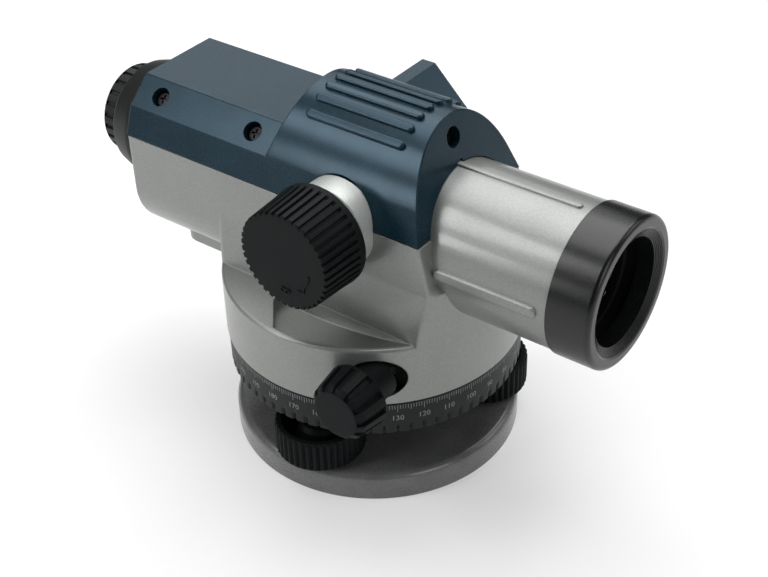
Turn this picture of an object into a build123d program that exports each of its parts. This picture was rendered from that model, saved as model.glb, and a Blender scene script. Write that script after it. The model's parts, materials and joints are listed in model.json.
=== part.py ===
"""Automatic (surveyor's) level: telescope, compensator, horizontal drive and three-screw base.

Frame: millimetres, +X forward along the line of sight, +Y to the observer's left, +Z up.
The origin is on the vertical axis, in the plane of the base plate's bottom face, where the
tripod bolt enters.
"""
import os
from math import cos, pi, radians, sin, sqrt

from build123d import *

os.makedirs("parts", exist_ok=True)

# ---------------------------------------------------------------- driving dimensions
BASE_R = 55.8                  # base plate
BASE_T = 11.4
TRIPOD_R = 7.94                # 5/8 inch tripod bolt
RECESS_T = 3.4                 # hollow under the base plate, for the spring plate
SPRING_T = 1.6
SPRING_SCREW_RADIUS = 27.0

SCREW_RADIUS = 42.2            # foot screws stand on this circle
SCREW_ANGLES = (-83.6, 36.4, 156.4)
SPRING_SCREW_ANGLE = SCREW_ANGLES[0] + 60
STUD_R = 4.0
BALL_R = 4.8
BALL_Z = 8.4
KNOB_R = 17.1
KNOB_Z0, KNOB_Z1 = 12.3, 25.1
STUD_Z1 = 39.5
BUSH_R = 6.8                   # brass bushes in the levelling head
BUSH_Z0, BUSH_Z1 = 29.0, 40.0
TILT_ROOM = 0.9                # radial room round a foot screw, for the head's tilt

HEAD_Z0, HEAD_Z1 = 30.5, 44.0  # levelling head
ARM_T = 7.5
HUB_R = 19.0
SLEEVE_R = 12.0                # steel sleeve that carries the vertical spindle
SLEEVE_Z1 = 65.5
SPINDLE_R = 9.0
SPINDLE_Z0 = 29.5
CLUTCH_T = 2.0
RUN_FIT = 0.05                 # radial clearance of every running fit

CIRCLE_R = 56.2                # graduated circle
CIRCLE_Z0, CIRCLE_Z1 = 33.0, 46.4
CIRCLE_WEB_Z0 = 41.5

DRUM_R = 56.8                  # round lower part of the housing
DRUM_Z0, SHELF_Z = 46.8, 71.3
SHELF_EDGE = 1.4               # rounding of the shelf's rim
DRUM_BORE_R = 53.0
DRUM_ROOF_Z = 63.0
WORM_ROOM_R, WORM_ROOM_Z = 34.0, 66.0

WHEEL_TEETH = 72               # horizontal drive
MODULE = 2 * 30.0 / WHEEL_TEETH
WHEEL_R = MODULE * WHEEL_TEETH / 2
WHEEL_Z0, WHEEL_Z1 = 55.0, 62.0
WORM_R = 4.2
DRIVE_X = WHEEL_R + WORM_R
DRIVE_Z = 58.5
DRIVE_KNOB_Y0, DRIVE_KNOB_Y1 = 54.6, 67.6
DRIVE_KNOB_R0, DRIVE_KNOB_R1 = 12.45, 10.3
DRIVE_COLLAR_R, DRIVE_COLLAR_Y = 7.5, 42.5
DRIVE_SHAFT_R, DRIVE_SHAFT_Y = 3.0, 64.0
DRIVE_HOLE_R = 8.6

AXIS_Z = 98.5                  # line of sight
BODY_W = 31.4                  # half width of the telescope body
BODY_REAR = -91.0
BODY_BOTTOM = 64.6
BODY_CORNER_R = 24.7
SPLIT_Z = 109.7                # joint between lower housing and cover
GASKET_T = 0.5
WALL = 2.6
FLOOR_Z = 74.0                 # floor of the telescope body
ROOM_W = BODY_W - 3.0
ROOM_X0, ROOM_X1 = -87.5, 40.0
HOUSING_TOP = SPLIT_Z - GASKET_T
TUBE_R, TUBE_BORE_R = 26.6, 23.6
TUBE_X0, TUBE_X1 = 24.0, 90.0
RIDGE_X1 = 86.7
KEEL_X0, KEEL_X1, KEEL_W, KEEL_Z = -80.0, -44.0, 19.0, 60.0
PIER_FOOT_W = 35.1             # half width of the pier where it meets the drum
PIER_FOOT_TOP = 90.0
FRONT_SLOPE = 0.224            # lean of the front face
SHOULDER_Z0, SHOULDER_Z1 = 85.0, 94.0  # where the drum's round front draws in to the front face
POCKET_Z, POCKET_BEND_R = 66.0, 173.0
POCKET_CORNER_R = 6.0

ROOF_W, ROOF_Z = 17.5, 129.4   # flat roof of the cover
EAVE_W, EAVE_Z = 27.5, 120.4
ARCH_A, ARCH_B, ARCH_CZ = 31.37, 42.8, 99.8
ARCH_LEAN = 0.3                # slope of the arch's two end faces
ARCH_X0, ARCH_X1 = -22.2, 43.6

FOCUS_X, FOCUS_Z = 8.6, 106.9  # focusing knob and pinion
FOCUS_KNOB_Y0, FOCUS_KNOB_Y1 = 39.0, 59.4
FOCUS_KNOB_R0, FOCUS_KNOB_R1 = 19.4, 18.4
FOCUS_BOSS_R = 16.3
PINION_TEETH = 10
PINION_MODULE = 0.5
PINION_R = PINION_MODULE * PINION_TEETH / 2
CELL_R = 13.0                  # focusing lens cell

OBJECTIVE_R = 27.4             # objective ring
OBJECTIVE_X1 = 106.4
MOUTH_R0, MOUTH_R1 = 22.8, 19.3 # its stepped mouth, front and back
MOUTH_DEPTH, MOUTH_STEPS = 2.0, 5

EYE_COVER_R = 24.2             # eyepiece end
EYE_COVER_X0, EYE_COVER_X1 = -111.5, -91.0
EYE_TUBE_R, EYE_BORE_R = 12.5, 10.1
EYE_RING_R = 18.0
EYE_RING_X0 = -119.0

HOOD_X0, HOOD_X1 = -11.8, -5.7  # mirror hood over the circular level
HOOD_Y0, HOOD_Y1 = 20.0, 49.4
HOOD_Z0 = 108.0
VIAL_X, VIAL_Y, VIAL_Z = 3.0, 40.6, 99.5

GRIP_X0, GRIP_X1 = -13.5, 28.0 # raised grips on the arch
GRIP_PITCH, GRIP_W, GRIP_H = 5.5, 3.0, 1.3


SIDE_VIEW = Plane.XZ           # sketch axes along +X and +Z
OPTICAL = Plane(origin=(0, 0, AXIS_Z), x_dir=(1, 0, 0), z_dir=(0, -1, 0))
LINE_OF_SIGHT = Axis((0, 0, AXIS_Z), (1, 0, 0))

# Cover screws sit square to the sloping eaves, and their lugs stand in line with them.
EAVE_SLOPE = sqrt((EAVE_W - ROOF_W) ** 2 + (ROOF_Z - EAVE_Z) ** 2)
EAVE_NORMAL = ((ROOF_Z - EAVE_Z) / EAVE_SLOPE, (EAVE_W - ROOF_W) / EAVE_SLOPE)
EAVE_MID = ((EAVE_W + ROOF_W) / 2, (EAVE_Z + ROOF_Z) / 2)
COVER_SCREW_X = (-79.5, -34.7)
COVER_HOLE_R = 3.7
COVER_SEAT = 4.4               # depth of a screw head's seat
COVER_BOSS = 7.4
FRONT_SCREW = (35.15, 0, 134.5)
FRONT_NORMAL = (1 / sqrt(1 + ARCH_LEAN ** 2), 0, ARCH_LEAN / sqrt(1 + ARCH_LEAN ** 2))


def save(part, name):
    """Label a finished piece and write it to its own file."""
    part.label = name
    export_step(part, f"parts/{name}.step")


def polar(radius, angle):
    """X and Y of a point at this radius and angle in degrees."""
    return radius * cos(radians(angle)), radius * sin(radians(angle))


def along_x(x):
    """Plane facing +X, its sketch axes lying along +Y and +Z."""
    return Plane(origin=(x, 0, 0), x_dir=(0, 1, 0), z_dir=(1, 0, 0))


def along_y(y):
    """Plane facing +Y, its sketch axes lying along -X and +Z."""
    return Plane(origin=(0, y, 0), x_dir=(-1, 0, 0), z_dir=(0, 1, 0))


def disc_y(x, z, radius, y0, y1, mode=Mode.ADD):
    """Cylinder along Y between y0 and y1."""
    with BuildSketch(along_y(y0)) as outline:
        with Locations((-x, z)):
            Circle(radius)
    extrude(outline.sketch, amount=y1 - y0, mode=mode)


def disc_x(radius, x0, x1, mode=Mode.ADD):
    """Cylinder around the line of sight between x0 and x1."""
    with BuildSketch(along_x(x0)) as outline:
        with Locations((0, AXIS_Z)):
            Circle(radius)
    extrude(outline.sketch, amount=x1 - x0, mode=mode)


def disc_z(radius, z0, z1, mode=Mode.ADD, at=(0, 0)):
    """Upright cylinder between z0 and z1."""
    with BuildSketch(Plane.XY.offset(z0)) as outline:
        with Locations(at):
            Circle(radius)
    extrude(outline.sketch, amount=z1 - z0, mode=mode)


def turned(points, mode=Mode.ADD):
    """Ring or rod turned round the line of sight from (x, radius) points."""
    with BuildSketch(OPTICAL) as outline:
        with BuildLine():
            Polyline(*points, close=True)
        make_face()
    revolve(outline.sketch, axis=LINE_OF_SIGHT, mode=mode)


def ring_x(outer, inner, x0, x1):
    """Plain ring round the line of sight."""
    turned([(x0, inner), (x0, outer), (x1, outer), (x1, inner)])


def slab(plane, points, amount, mode=Mode.ADD, both=False):
    """Prism on a plane from an outline of points."""
    with BuildSketch(plane) as outline:
        with BuildLine():
            Polyline(*points, close=True)
        make_face()
    extrude(outline.sketch, amount=amount, both=both, mode=mode)


def eave_plane(x, side):
    """Plane square to the cover's eave at a cover screw, facing outwards."""
    y, z = EAVE_MID
    return Plane(origin=(x, side * y, z), x_dir=(1, 0, 0), z_dir=(0, side * EAVE_NORMAL[0], EAVE_NORMAL[1]))


def front_plane():
    """Plane on the cover's front face at its screw, facing outwards."""
    return Plane(origin=FRONT_SCREW, x_dir=(0, 1, 0), z_dir=FRONT_NORMAL)


def cover_screw_planes():
    """Every cover screw's plane."""
    return [eave_plane(x, side) for x in COVER_SCREW_X for side in (-1, 1)] + [front_plane()]


def box_between(low, high, mode=Mode.ADD):
    """Box between two corners."""
    size = [b - a for a, b in zip(low, high)]
    centre = [(a + b) / 2 for a, b in zip(low, high)]
    with Locations(tuple(centre)):
        Box(*size, mode=mode)


# ---------------------------------------------------------------- base
with BuildPart() as base_plate:
    disc_z(BASE_R, 0, BASE_T)
    fillet(base_plate.edges().sort_by(Axis.Z)[-1], 3.0)
    with BuildSketch(Plane.XY):
        Circle(50.0)
        Circle(HUB_R, mode=Mode.SUBTRACT)
    extrude(amount=RECESS_T, mode=Mode.SUBTRACT)
    disc_z(TRIPOD_R, 0, BASE_T, Mode.SUBTRACT)
    with BuildSketch(Plane.XY):
        with PolarLocations(SCREW_RADIUS, 3, SCREW_ANGLES[0]):
            Circle(BALL_R + 0.3)
    extrude(amount=BASE_T, mode=Mode.SUBTRACT)
    with BuildSketch(Plane.XY.offset(RECESS_T)):
        with PolarLocations(SPRING_SCREW_RADIUS, 3, SPRING_SCREW_ANGLE):
            Circle(1.5)
    extrude(amount=5.0, mode=Mode.SUBTRACT)
save(base_plate.part, "base_plate")

with BuildPart() as spring_plate:
    with BuildSketch(Plane.XY.offset(RECESS_T - SPRING_T)):
        Circle(33.0)
        with PolarLocations(SCREW_RADIUS, 3, SCREW_ANGLES[0]):
            Circle(7.0)
        for angle in SCREW_ANGLES:
            with Locations(polar(SCREW_RADIUS / 2, angle)):
                Rectangle(SCREW_RADIUS, 12.0, rotation=angle)
        Circle(HUB_R + 0.3, mode=Mode.SUBTRACT)
        with PolarLocations(SPRING_SCREW_RADIUS, 3, SPRING_SCREW_ANGLE):
            Circle(1.5, mode=Mode.SUBTRACT)
    extrude(amount=SPRING_T)
save(spring_plate.part, "spring_plate")

with BuildPart() as spring_plate_screws:
    with BuildSketch(Plane.XY.offset(RECESS_T - SPRING_T)):
        with PolarLocations(SPRING_SCREW_RADIUS, 3, SPRING_SCREW_ANGLE):
            Circle(1.5)
    extrude(amount=SPRING_T + 4.0)
    with BuildSketch(Plane.XY.offset(0.4)):
        with PolarLocations(SPRING_SCREW_RADIUS, 3, SPRING_SCREW_ANGLE):
            Circle(2.8)
    extrude(amount=RECESS_T - SPRING_T - 0.4)
    with BuildSketch(Plane.XY.offset(0.4)):
        with PolarLocations(SPRING_SCREW_RADIUS, 3, SPRING_SCREW_ANGLE):
            Rectangle(4.4, 0.8)
    extrude(amount=0.6, mode=Mode.SUBTRACT)
save(spring_plate_screws.part, "spring_plate_screws")


def foot_screw(number, angle):
    """Steel stud with a ball foot, and the ribbed knob that turns it, at this angle."""
    at = polar(SCREW_RADIUS, angle)
    with BuildPart() as stud:
        disc_z(STUD_R, KNOB_Z0, STUD_Z1, at=at)
        chamfer(stud.edges().sort_by(Axis.Z)[-1], 0.8)
        disc_z(3.0, BALL_Z, KNOB_Z0, at=at)
        with Locations((*at, BALL_Z)):
            Sphere(BALL_R)
    save(stud.part, f"foot_screw_{number}")

    cup_r, cup_z = KNOB_R - 3.4, KNOB_Z1 - 6.5
    with BuildPart() as knob:
        disc_z(KNOB_R, KNOB_Z0, KNOB_Z1, at=at)
        fillet(knob.edges().sort_by(Axis.Z)[-1], 1.2)
        chamfer(knob.edges().sort_by(Axis.Z)[0], 0.8)
        disc_z(cup_r, cup_z, KNOB_Z1, Mode.SUBTRACT, at)
        disc_z(7.0, cup_z, KNOB_Z1 - 1.5, at=at)
        disc_z(STUD_R, KNOB_Z0, KNOB_Z1, Mode.SUBTRACT, at)
        with BuildSketch(Plane.XY.offset(KNOB_Z0)):
            with Locations(at):
                with PolarLocations(KNOB_R + 0.5, 40):
                    Circle(1.0)
        extrude(amount=KNOB_Z1 - KNOB_Z0 - 1.8, mode=Mode.SUBTRACT)
    save(knob.part, f"foot_knob_{number}")


for number, angle in enumerate(SCREW_ANGLES, start=1):
    foot_screw(number, angle)

# ---------------------------------------------------------------- levelling head and circle
with BuildPart() as levelling_head:
    with BuildSketch(Plane.XY.offset(HEAD_Z0)):
        Circle(HUB_R + 4.0)
        for angle in SCREW_ANGLES:
            with Locations(polar(SCREW_RADIUS / 2, angle)):
                Rectangle(SCREW_RADIUS, 13.0, rotation=angle)
    extrude(amount=ARM_T)
    with BuildSketch(Plane.XY.offset(BUSH_Z0)):
        with PolarLocations(SCREW_RADIUS, 3, SCREW_ANGLES[0]):
            Circle(BUSH_R + 1.7)
    extrude(amount=BUSH_Z1 - BUSH_Z0)
    disc_z(HUB_R, HEAD_Z0, HEAD_Z1)
    disc_z(SLEEVE_R, HEAD_Z0, HEAD_Z1, Mode.SUBTRACT)
    with BuildSketch(Plane.XY.offset(BUSH_Z0)):
        with PolarLocations(SCREW_RADIUS, 3, SCREW_ANGLES[0]):
            Circle(BUSH_R)
    extrude(amount=BUSH_Z1 - BUSH_Z0, mode=Mode.SUBTRACT)
save(levelling_head.part, "levelling_head")

with BuildPart() as foot_screw_bushes:
    with BuildSketch(Plane.XY.offset(BUSH_Z0)):
        with PolarLocations(SCREW_RADIUS, 3, SCREW_ANGLES[0]):
            Circle(BUSH_R)
            Circle(STUD_R + TILT_ROOM, mode=Mode.SUBTRACT)
    extrude(amount=BUSH_Z1 - BUSH_Z0)
save(foot_screw_bushes.part, "foot_screw_bushes")

with BuildPart() as axis_sleeve:
    disc_z(SLEEVE_R, HEAD_Z0, SLEEVE_Z1)
    disc_z(SPINDLE_R + RUN_FIT, HEAD_Z0, SLEEVE_Z1, Mode.SUBTRACT)
save(axis_sleeve.part, "axis_sleeve")

with BuildPart() as clutch_spring:
    disc_z(17.5, HEAD_Z1, HEAD_Z1 + CLUTCH_T)
    disc_z(SLEEVE_R, HEAD_Z1, HEAD_Z1 + CLUTCH_T, Mode.SUBTRACT)
save(clutch_spring.part, "clutch_spring")

with BuildPart() as clutch_nut:
    disc_z(17.0, WHEEL_Z1 + 0.1, SLEEVE_Z1)
    disc_z(SLEEVE_R, WHEEL_Z1 + 0.1, SLEEVE_Z1, Mode.SUBTRACT)
    with BuildSketch(Plane.XY.offset(WHEEL_Z1 + 0.1)):
        with PolarLocations(17.0, 4):
            Rectangle(3.0, 3.0)
    extrude(amount=SLEEVE_Z1 - WHEEL_Z1, mode=Mode.SUBTRACT)
save(clutch_nut.part, "clutch_nut")

CIRCLE_BORE_R = CIRCLE_R - 3.4
with BuildPart() as graduated_circle:
    disc_z(CIRCLE_R, CIRCLE_Z0, CIRCLE_Z1)
    disc_z(CIRCLE_BORE_R, CIRCLE_Z0, CIRCLE_Z1, Mode.SUBTRACT)
    with BuildSketch(Plane.XY.offset(CIRCLE_WEB_Z0)):
        Circle(CIRCLE_BORE_R + 1.0)
        Circle(HUB_R + RUN_FIT, mode=Mode.SUBTRACT)
    extrude(amount=2.5)
    with BuildSketch(Plane.XY.offset(CIRCLE_Z0)):
        with PolarLocations(CIRCLE_R, 72):
            Rectangle(1.6, 1.7)
    extrude(amount=2.6, mode=Mode.SUBTRACT)
save(graduated_circle.part, "graduated_circle")

# ---------------------------------------------------------------- horizontal drive
PITCH = pi * MODULE
TOOTH_HALF = PITCH / 4 - 0.11          # half thickness on the pitch line, less backlash
FLANK = 0.36                           # slope of a tooth flank

with BuildPart() as worm_wheel:
    with BuildSketch(Plane.XY.offset(WHEEL_Z0)):
        Circle(WHEEL_R - 1.05)
        with PolarLocations(WHEEL_R, WHEEL_TEETH):
            Polygon(
                (-1.3, -TOOTH_HALF - 1.3 * FLANK),
                (0.75, -TOOTH_HALF + 0.75 * FLANK),
                (0.75, TOOTH_HALF - 0.75 * FLANK),
                (-1.3, TOOTH_HALF + 1.3 * FLANK),
                align=None,
            )
    extrude(amount=WHEEL_Z1 - WHEEL_Z0)
    disc_z(17.0, HEAD_Z1 + CLUTCH_T + 0.1, WHEEL_Z0)
    disc_z(SLEEVE_R + RUN_FIT, HEAD_Z1, WHEEL_Z1, Mode.SUBTRACT)
save(worm_wheel.part, "worm_wheel")

DRIVE_AXIS = Axis((DRIVE_X, 0, DRIVE_Z), (0, 1, 0))
WORM_PLANE = Plane(origin=(DRIVE_X, 0, DRIVE_Z), x_dir=(0, 1, 0), z_dir=(1, 0, 0))


def worm_outline():
    """Half outline of the worm shaft, as distances along it and out from its axis."""
    points = [
        (-DRIVE_SHAFT_Y, 0),
        (-DRIVE_SHAFT_Y, DRIVE_SHAFT_R),
        (-3 * PITCH, DRIVE_SHAFT_R),
    ]
    for ridge in range(-3, 3):
        y = (ridge + 0.5) * PITCH
        points += [
            (y - TOOTH_HALF - 0.95 * FLANK, WORM_R - 0.95),
            (y - TOOTH_HALF + 0.75 * FLANK, WORM_R + 0.75),
            (y + TOOTH_HALF - 0.75 * FLANK, WORM_R + 0.75),
            (y + TOOTH_HALF + 0.95 * FLANK, WORM_R - 0.95),
        ]
    return points + [
        (3 * PITCH, DRIVE_SHAFT_R),
        (DRIVE_SHAFT_Y, DRIVE_SHAFT_R),
        (DRIVE_SHAFT_Y, 0),
    ]


with BuildPart() as worm_shaft:
    with BuildSketch(WORM_PLANE):
        with BuildLine():
            Polyline(*worm_outline(), close=True)
        make_face()
    revolve(axis=DRIVE_AXIS)
save(worm_shaft.part, "worm_shaft")


def drive_knob(side, name):
    """Tapered knob with twelve grip flutes and a collar that enters the housing."""
    with BuildPart() as knob:
        with BuildSketch(WORM_PLANE):
            with BuildLine():
                Polyline(
                    (side * DRIVE_COLLAR_Y, DRIVE_SHAFT_R),
                    (side * DRIVE_COLLAR_Y, DRIVE_COLLAR_R),
                    (side * DRIVE_KNOB_Y0, DRIVE_COLLAR_R),
                    (side * DRIVE_KNOB_Y0, DRIVE_KNOB_R0),
                    (side * (DRIVE_KNOB_Y1 - 2.2), DRIVE_KNOB_R1 + 0.6),
                    (side * DRIVE_KNOB_Y1, DRIVE_KNOB_R1 - 1.2),
                    (side * DRIVE_KNOB_Y1, 0),
                    (side * DRIVE_SHAFT_Y, 0),
                    (side * DRIVE_SHAFT_Y, DRIVE_SHAFT_R),
                    close=True,
                )
            make_face()
        revolve(axis=DRIVE_AXIS)
        start = side * (DRIVE_KNOB_Y0 + 1.6)
        with BuildSketch(along_y(start)):
            with Locations((-DRIVE_X, DRIVE_Z)):
                with PolarLocations(DRIVE_KNOB_R0 + 0.3, 12):
                    Circle(1.5)
        extrude(amount=side * (DRIVE_KNOB_Y1 - DRIVE_KNOB_Y0), mode=Mode.SUBTRACT)
    save(knob.part, name)


drive_knob(-1, "drive_knob_right")
drive_knob(1, "drive_knob_left")

with BuildPart() as vertical_spindle:
    disc_z(SPINDLE_R, SPINDLE_Z0, FLOOR_Z + 3.0)
    disc_z(14.0, FLOOR_Z, FLOOR_Z + 3.0)
    disc_z(2.0, SPINDLE_Z0, SPINDLE_Z0 + 9.0, Mode.SUBTRACT)
save(vertical_spindle.part, "vertical_spindle")

with BuildPart() as spindle_retainer:
    disc_z(11.5, SPINDLE_Z0 - 2.0, SPINDLE_Z0)
    disc_z(4.0, SPINDLE_Z0 - 3.0, SPINDLE_Z0 - 2.0)
    disc_z(2.0, SPINDLE_Z0, SPINDLE_Z0 + 8.5)
save(spindle_retainer.part, "spindle_retainer")

with BuildPart() as worm_bearings:
    for side in (-1, 1):
        y0, y1 = sorted((side * 29.0, side * 35.0))
        box_between((29.0, y0, DRIVE_Z - 5.0), (39.0, y1, DRUM_ROOF_Z))
    disc_y(DRIVE_X, DRIVE_Z, DRIVE_SHAFT_R + RUN_FIT, -36, 36, Mode.SUBTRACT)
save(worm_bearings.part, "worm_bearings")

# ---------------------------------------------------------------- housing
with BuildPart() as pier:
    slab(
        along_x(-DRUM_R),
        [
            (-PIER_FOOT_W, SHELF_Z - SHELF_EDGE),
            (-BODY_W, PIER_FOOT_TOP),
            (-BODY_W, HOUSING_TOP),
            (BODY_W, HOUSING_TOP),
            (BODY_W, PIER_FOOT_TOP),
            (PIER_FOOT_W, SHELF_Z - SHELF_EDGE),
        ],
        2 * DRUM_R,
    )
    disc_z(DRUM_R, SHELF_Z - SHELF_EDGE, HOUSING_TOP, Mode.INTERSECT)
    slab(
        SIDE_VIEW,
        [
            (ARCH_X1, SPLIT_Z),
            (ARCH_X1 + FRONT_SLOPE * (SPLIT_Z - SHOULDER_Z1), SHOULDER_Z1),
            (DRUM_R, SHOULDER_Z0),
            (DRUM_R + 5.0, SHOULDER_Z0),
            (DRUM_R + 5.0, SPLIT_Z),
        ],
        BODY_W + 5.0,
        Mode.SUBTRACT,
        both=True,
    )

with BuildPart() as pocket:
    with BuildSketch(Plane.XY.offset(POCKET_Z - 1.0)) as outline:
        with BuildLine():
            Polyline(
                (-13.9, -PIER_FOOT_W),
                (-13.9, -41.5),
                (-2.5, -55.0),
                (-2.5, -60.0),
                (60.0, -60.0),
                (60.0, -PIER_FOOT_W),
                close=True,
            )
        make_face()
        fillet(outline.vertices().sort_by_distance((-13.9, -41.5, 0))[0], POCKET_CORNER_R)
        fillet(outline.vertices().sort_by_distance((-2.5, -55.0, 0))[0], POCKET_CORNER_R)
        Circle(DRUM_R - 2.2, mode=Mode.INTERSECT)
    extrude(amount=SHELF_Z + 3.0 - POCKET_Z)
    disc_y(0, POCKET_Z + POCKET_BEND_R, POCKET_BEND_R, -70, 0, Mode.INTERSECT)


def tube_ridge(angle, width, height, x0):
    """Round-ended ridge along the telescope tube, at this angle from its top."""
    outward = (0, -sin(radians(angle)), cos(radians(angle)))
    root = Plane(origin=(0, 0, AXIS_Z), x_dir=(1, 0, 0), z_dir=outward).offset(TUBE_R - 1.5)
    with BuildSketch(root) as outline:
        with Locations(((x0 + RIDGE_X1) / 2, 0)):
            SlotOverall(RIDGE_X1 - x0, width)
    extrude(outline.sketch, amount=1.5 + height)


def screw_lug(x, side):
    """Lug that a cover screw bites into, with its web down to the housing wall."""
    y0, z0 = (a - n * (COVER_BOSS + 0.3) for a, n in zip(EAVE_MID, EAVE_NORMAL))
    ny, nz = EAVE_NORMAL
    outline = [
        (y0 - 4.5 * nz, z0 + 4.5 * ny),
        (y0 + 4.5 * nz, z0 - 4.5 * ny),
        (ROOM_W + 0.5, HOUSING_TOP - 1.5),
        (ROOM_W + 0.5, HOUSING_TOP - 10.0),
        (y0 - 7.0 * ny + 4.5 * nz, z0 - 7.0 * nz - 4.5 * ny),
        (y0 - 7.0 * ny - 4.5 * nz, z0 - 7.0 * nz + 4.5 * ny),
    ]
    slab(along_x(x - 4.5), [(side * y, z) for y, z in outline], 9.0)


def front_lug_outline():
    """Side outline of the lug on the tube that the cover's front screw bites into."""
    z0, z1 = AXIS_Z + TUBE_R - 1.5, FRONT_SCREW[2] + 2.0
    face_x, _, face_z = (a - (COVER_BOSS + 0.3) * n for a, n in zip(FRONT_SCREW, FRONT_NORMAL))
    return [
        (TUBE_X0, z0),
        (face_x - ARCH_LEAN * (z0 - face_z), z0),
        (face_x - ARCH_LEAN * (z1 - face_z), z1),
        (TUBE_X0, z1),
    ]


with BuildPart() as main_housing:
    disc_z(DRUM_R, DRUM_Z0, SHELF_Z)
    fillet(main_housing.edges().sort_by(Axis.Z)[-1], SHELF_EDGE)
    add(pier.part)
    with BuildSketch(along_x(BODY_REAR)) as trough:
        with Locations((0, (BODY_BOTTOM + HOUSING_TOP) / 2)):
            Rectangle(2 * BODY_W, HOUSING_TOP - BODY_BOTTOM)
        fillet(trough.vertices().group_by(Axis.Y)[0], BODY_CORNER_R)
    extrude(amount=ARCH_X1 - 0.6 - BODY_REAR)
    with BuildSketch(Plane.XY.offset(KEEL_Z)):
        with Locations(((KEEL_X0 + KEEL_X1) / 2, 0)):
            RectangleRounded(KEEL_X1 - KEEL_X0, 2 * KEEL_W, 6.0)
    extrude(amount=BODY_BOTTOM + 6.0 - KEEL_Z)
    add(pocket.part, mode=Mode.SUBTRACT)
    # room for the optics, open at the top until the cover goes on
    with BuildSketch(along_x(ROOM_X0)) as room:
        with Locations((0, (FLOOR_Z + SPLIT_Z) / 2)):
            Rectangle(2 * ROOM_W, SPLIT_Z - FLOOR_Z)
        fillet(room.vertices().group_by(Axis.Y)[0], 14.0)
    extrude(amount=ROOM_X1 - ROOM_X0, mode=Mode.SUBTRACT)
    # telescope tube with its ridges
    disc_x(TUBE_R, TUBE_X0, TUBE_X1)
    tube_ridge(0, 2.4, 0.8, ARCH_X1 - 6.0)
    tube_ridge(90, 3.8, 1.0, 46.5)
    tube_ridge(-90, 3.8, 1.0, 46.5)
    slab(SIDE_VIEW, front_lug_outline(), 5.0, both=True)
    disc_x(TUBE_BORE_R, TUBE_X0, TUBE_X1, Mode.SUBTRACT)
    for x in COVER_SCREW_X:
        screw_lug(x, -1)
        screw_lug(x, 1)
    for plane in cover_screw_planes():
        with BuildSketch(plane.offset(-COVER_BOSS + 2.0)) as tapped:
            Circle(1.5)
        extrude(tapped.sketch, amount=-9.0, mode=Mode.SUBTRACT)
    # drum: worm drive room, spindle seat and the two knob holes
    disc_z(DRUM_BORE_R, DRUM_Z0, DRUM_ROOF_Z, Mode.SUBTRACT)
    disc_z(WORM_ROOM_R, DRUM_ROOF_Z, WORM_ROOM_Z, Mode.SUBTRACT)
    box_between((WHEEL_R, -11.0, DRUM_ROOF_Z), (WHEEL_R + 10.0, 11.0, DRUM_ROOF_Z + 1.5), Mode.SUBTRACT)
    disc_z(SPINDLE_R + 0.02, WORM_ROOM_Z, FLOOR_Z, Mode.SUBTRACT)
    disc_y(DRIVE_X, DRIVE_Z, DRIVE_HOLE_R, -60, -36, Mode.SUBTRACT)
    disc_y(DRIVE_X, DRIVE_Z, DRIVE_HOLE_R, 36, 60, Mode.SUBTRACT)
    disc_y(FOCUS_X, FOCUS_Z, FOCUS_BOSS_R, -PIER_FOOT_W, -ROOM_W + 2.0, Mode.SUBTRACT)
    disc_x(EYE_TUBE_R, BODY_REAR, ROOM_X0, Mode.SUBTRACT)
save(main_housing.part, "main_housing")

with BuildPart() as cover_gasket:
    box_between((BODY_REAR + 0.3, -BODY_W + 0.3, HOUSING_TOP), (ARCH_X1 - 0.8, BODY_W - 0.3, SPLIT_Z))
    box_between((ROOM_X0, -ROOM_W, HOUSING_TOP), (ROOM_X1, ROOM_W, SPLIT_Z), Mode.SUBTRACT)
    disc_x(TUBE_R, TUBE_X0, TUBE_X1, Mode.SUBTRACT)
    disc_x(EYE_TUBE_R, BODY_REAR, ROOM_X0, Mode.SUBTRACT)
    disc_y(FOCUS_X, FOCUS_Z, FOCUS_BOSS_R, -40, -20, Mode.SUBTRACT)
save(cover_gasket.part, "cover_gasket")


def cover_solid(inset):
    """Cover's outer shape, or with an inset the room inside it."""
    straight = [
        (-BODY_W + inset, SPLIT_Z),
        (-EAVE_W + inset * 0.85, EAVE_Z - inset * 0.45),
        (-ROOF_W + inset * 0.4, ROOF_Z - inset),
        (ROOF_W - inset * 0.4, ROOF_Z - inset),
        (EAVE_W - inset * 0.85, EAVE_Z - inset * 0.45),
        (BODY_W - inset, SPLIT_Z),
    ]
    lower = [straight[0], straight[1], straight[-2], straight[-1]]
    top_z = ARCH_CZ + ARCH_B - inset
    with BuildPart() as arch:
        with BuildSketch(along_x(-60)):
            with Locations((0, ARCH_CZ)):
                Ellipse(ARCH_A - inset, ARCH_B - inset)
        extrude(amount=120)
        slab(along_x(-60), lower, 120)
        slab(
            SIDE_VIEW,
            [
                (ARCH_X0 + inset - ARCH_LEAN * (ROOF_Z - SPLIT_Z), SPLIT_Z),
                (ARCH_X0 + inset + ARCH_LEAN * (top_z - ROOF_Z), top_z),
                (ARCH_X1 - inset - ARCH_LEAN * (top_z - SPLIT_Z), top_z),
                (ARCH_X1 - inset, SPLIT_Z),
            ],
            BODY_W + 5.0,
            Mode.INTERSECT,
            both=True,
        )
    with BuildPart() as shell:
        slab(along_x(BODY_REAR + inset), straight, ARCH_X0 + 4.0 - BODY_REAR - inset)
        add(arch.part)
    return shell.part


def grip_plane(y):
    """Plane touching the arch's crown at this Y, facing outwards."""
    rise = ARCH_B * sqrt(1 - (y / ARCH_A) ** 2)
    outward = (0, y / ARCH_A ** 2, rise / ARCH_B ** 2)
    return Plane(origin=((GRIP_X0 + GRIP_X1) / 2, y, ARCH_CZ + rise), x_dir=(1, 0, 0), z_dir=outward)


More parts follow.
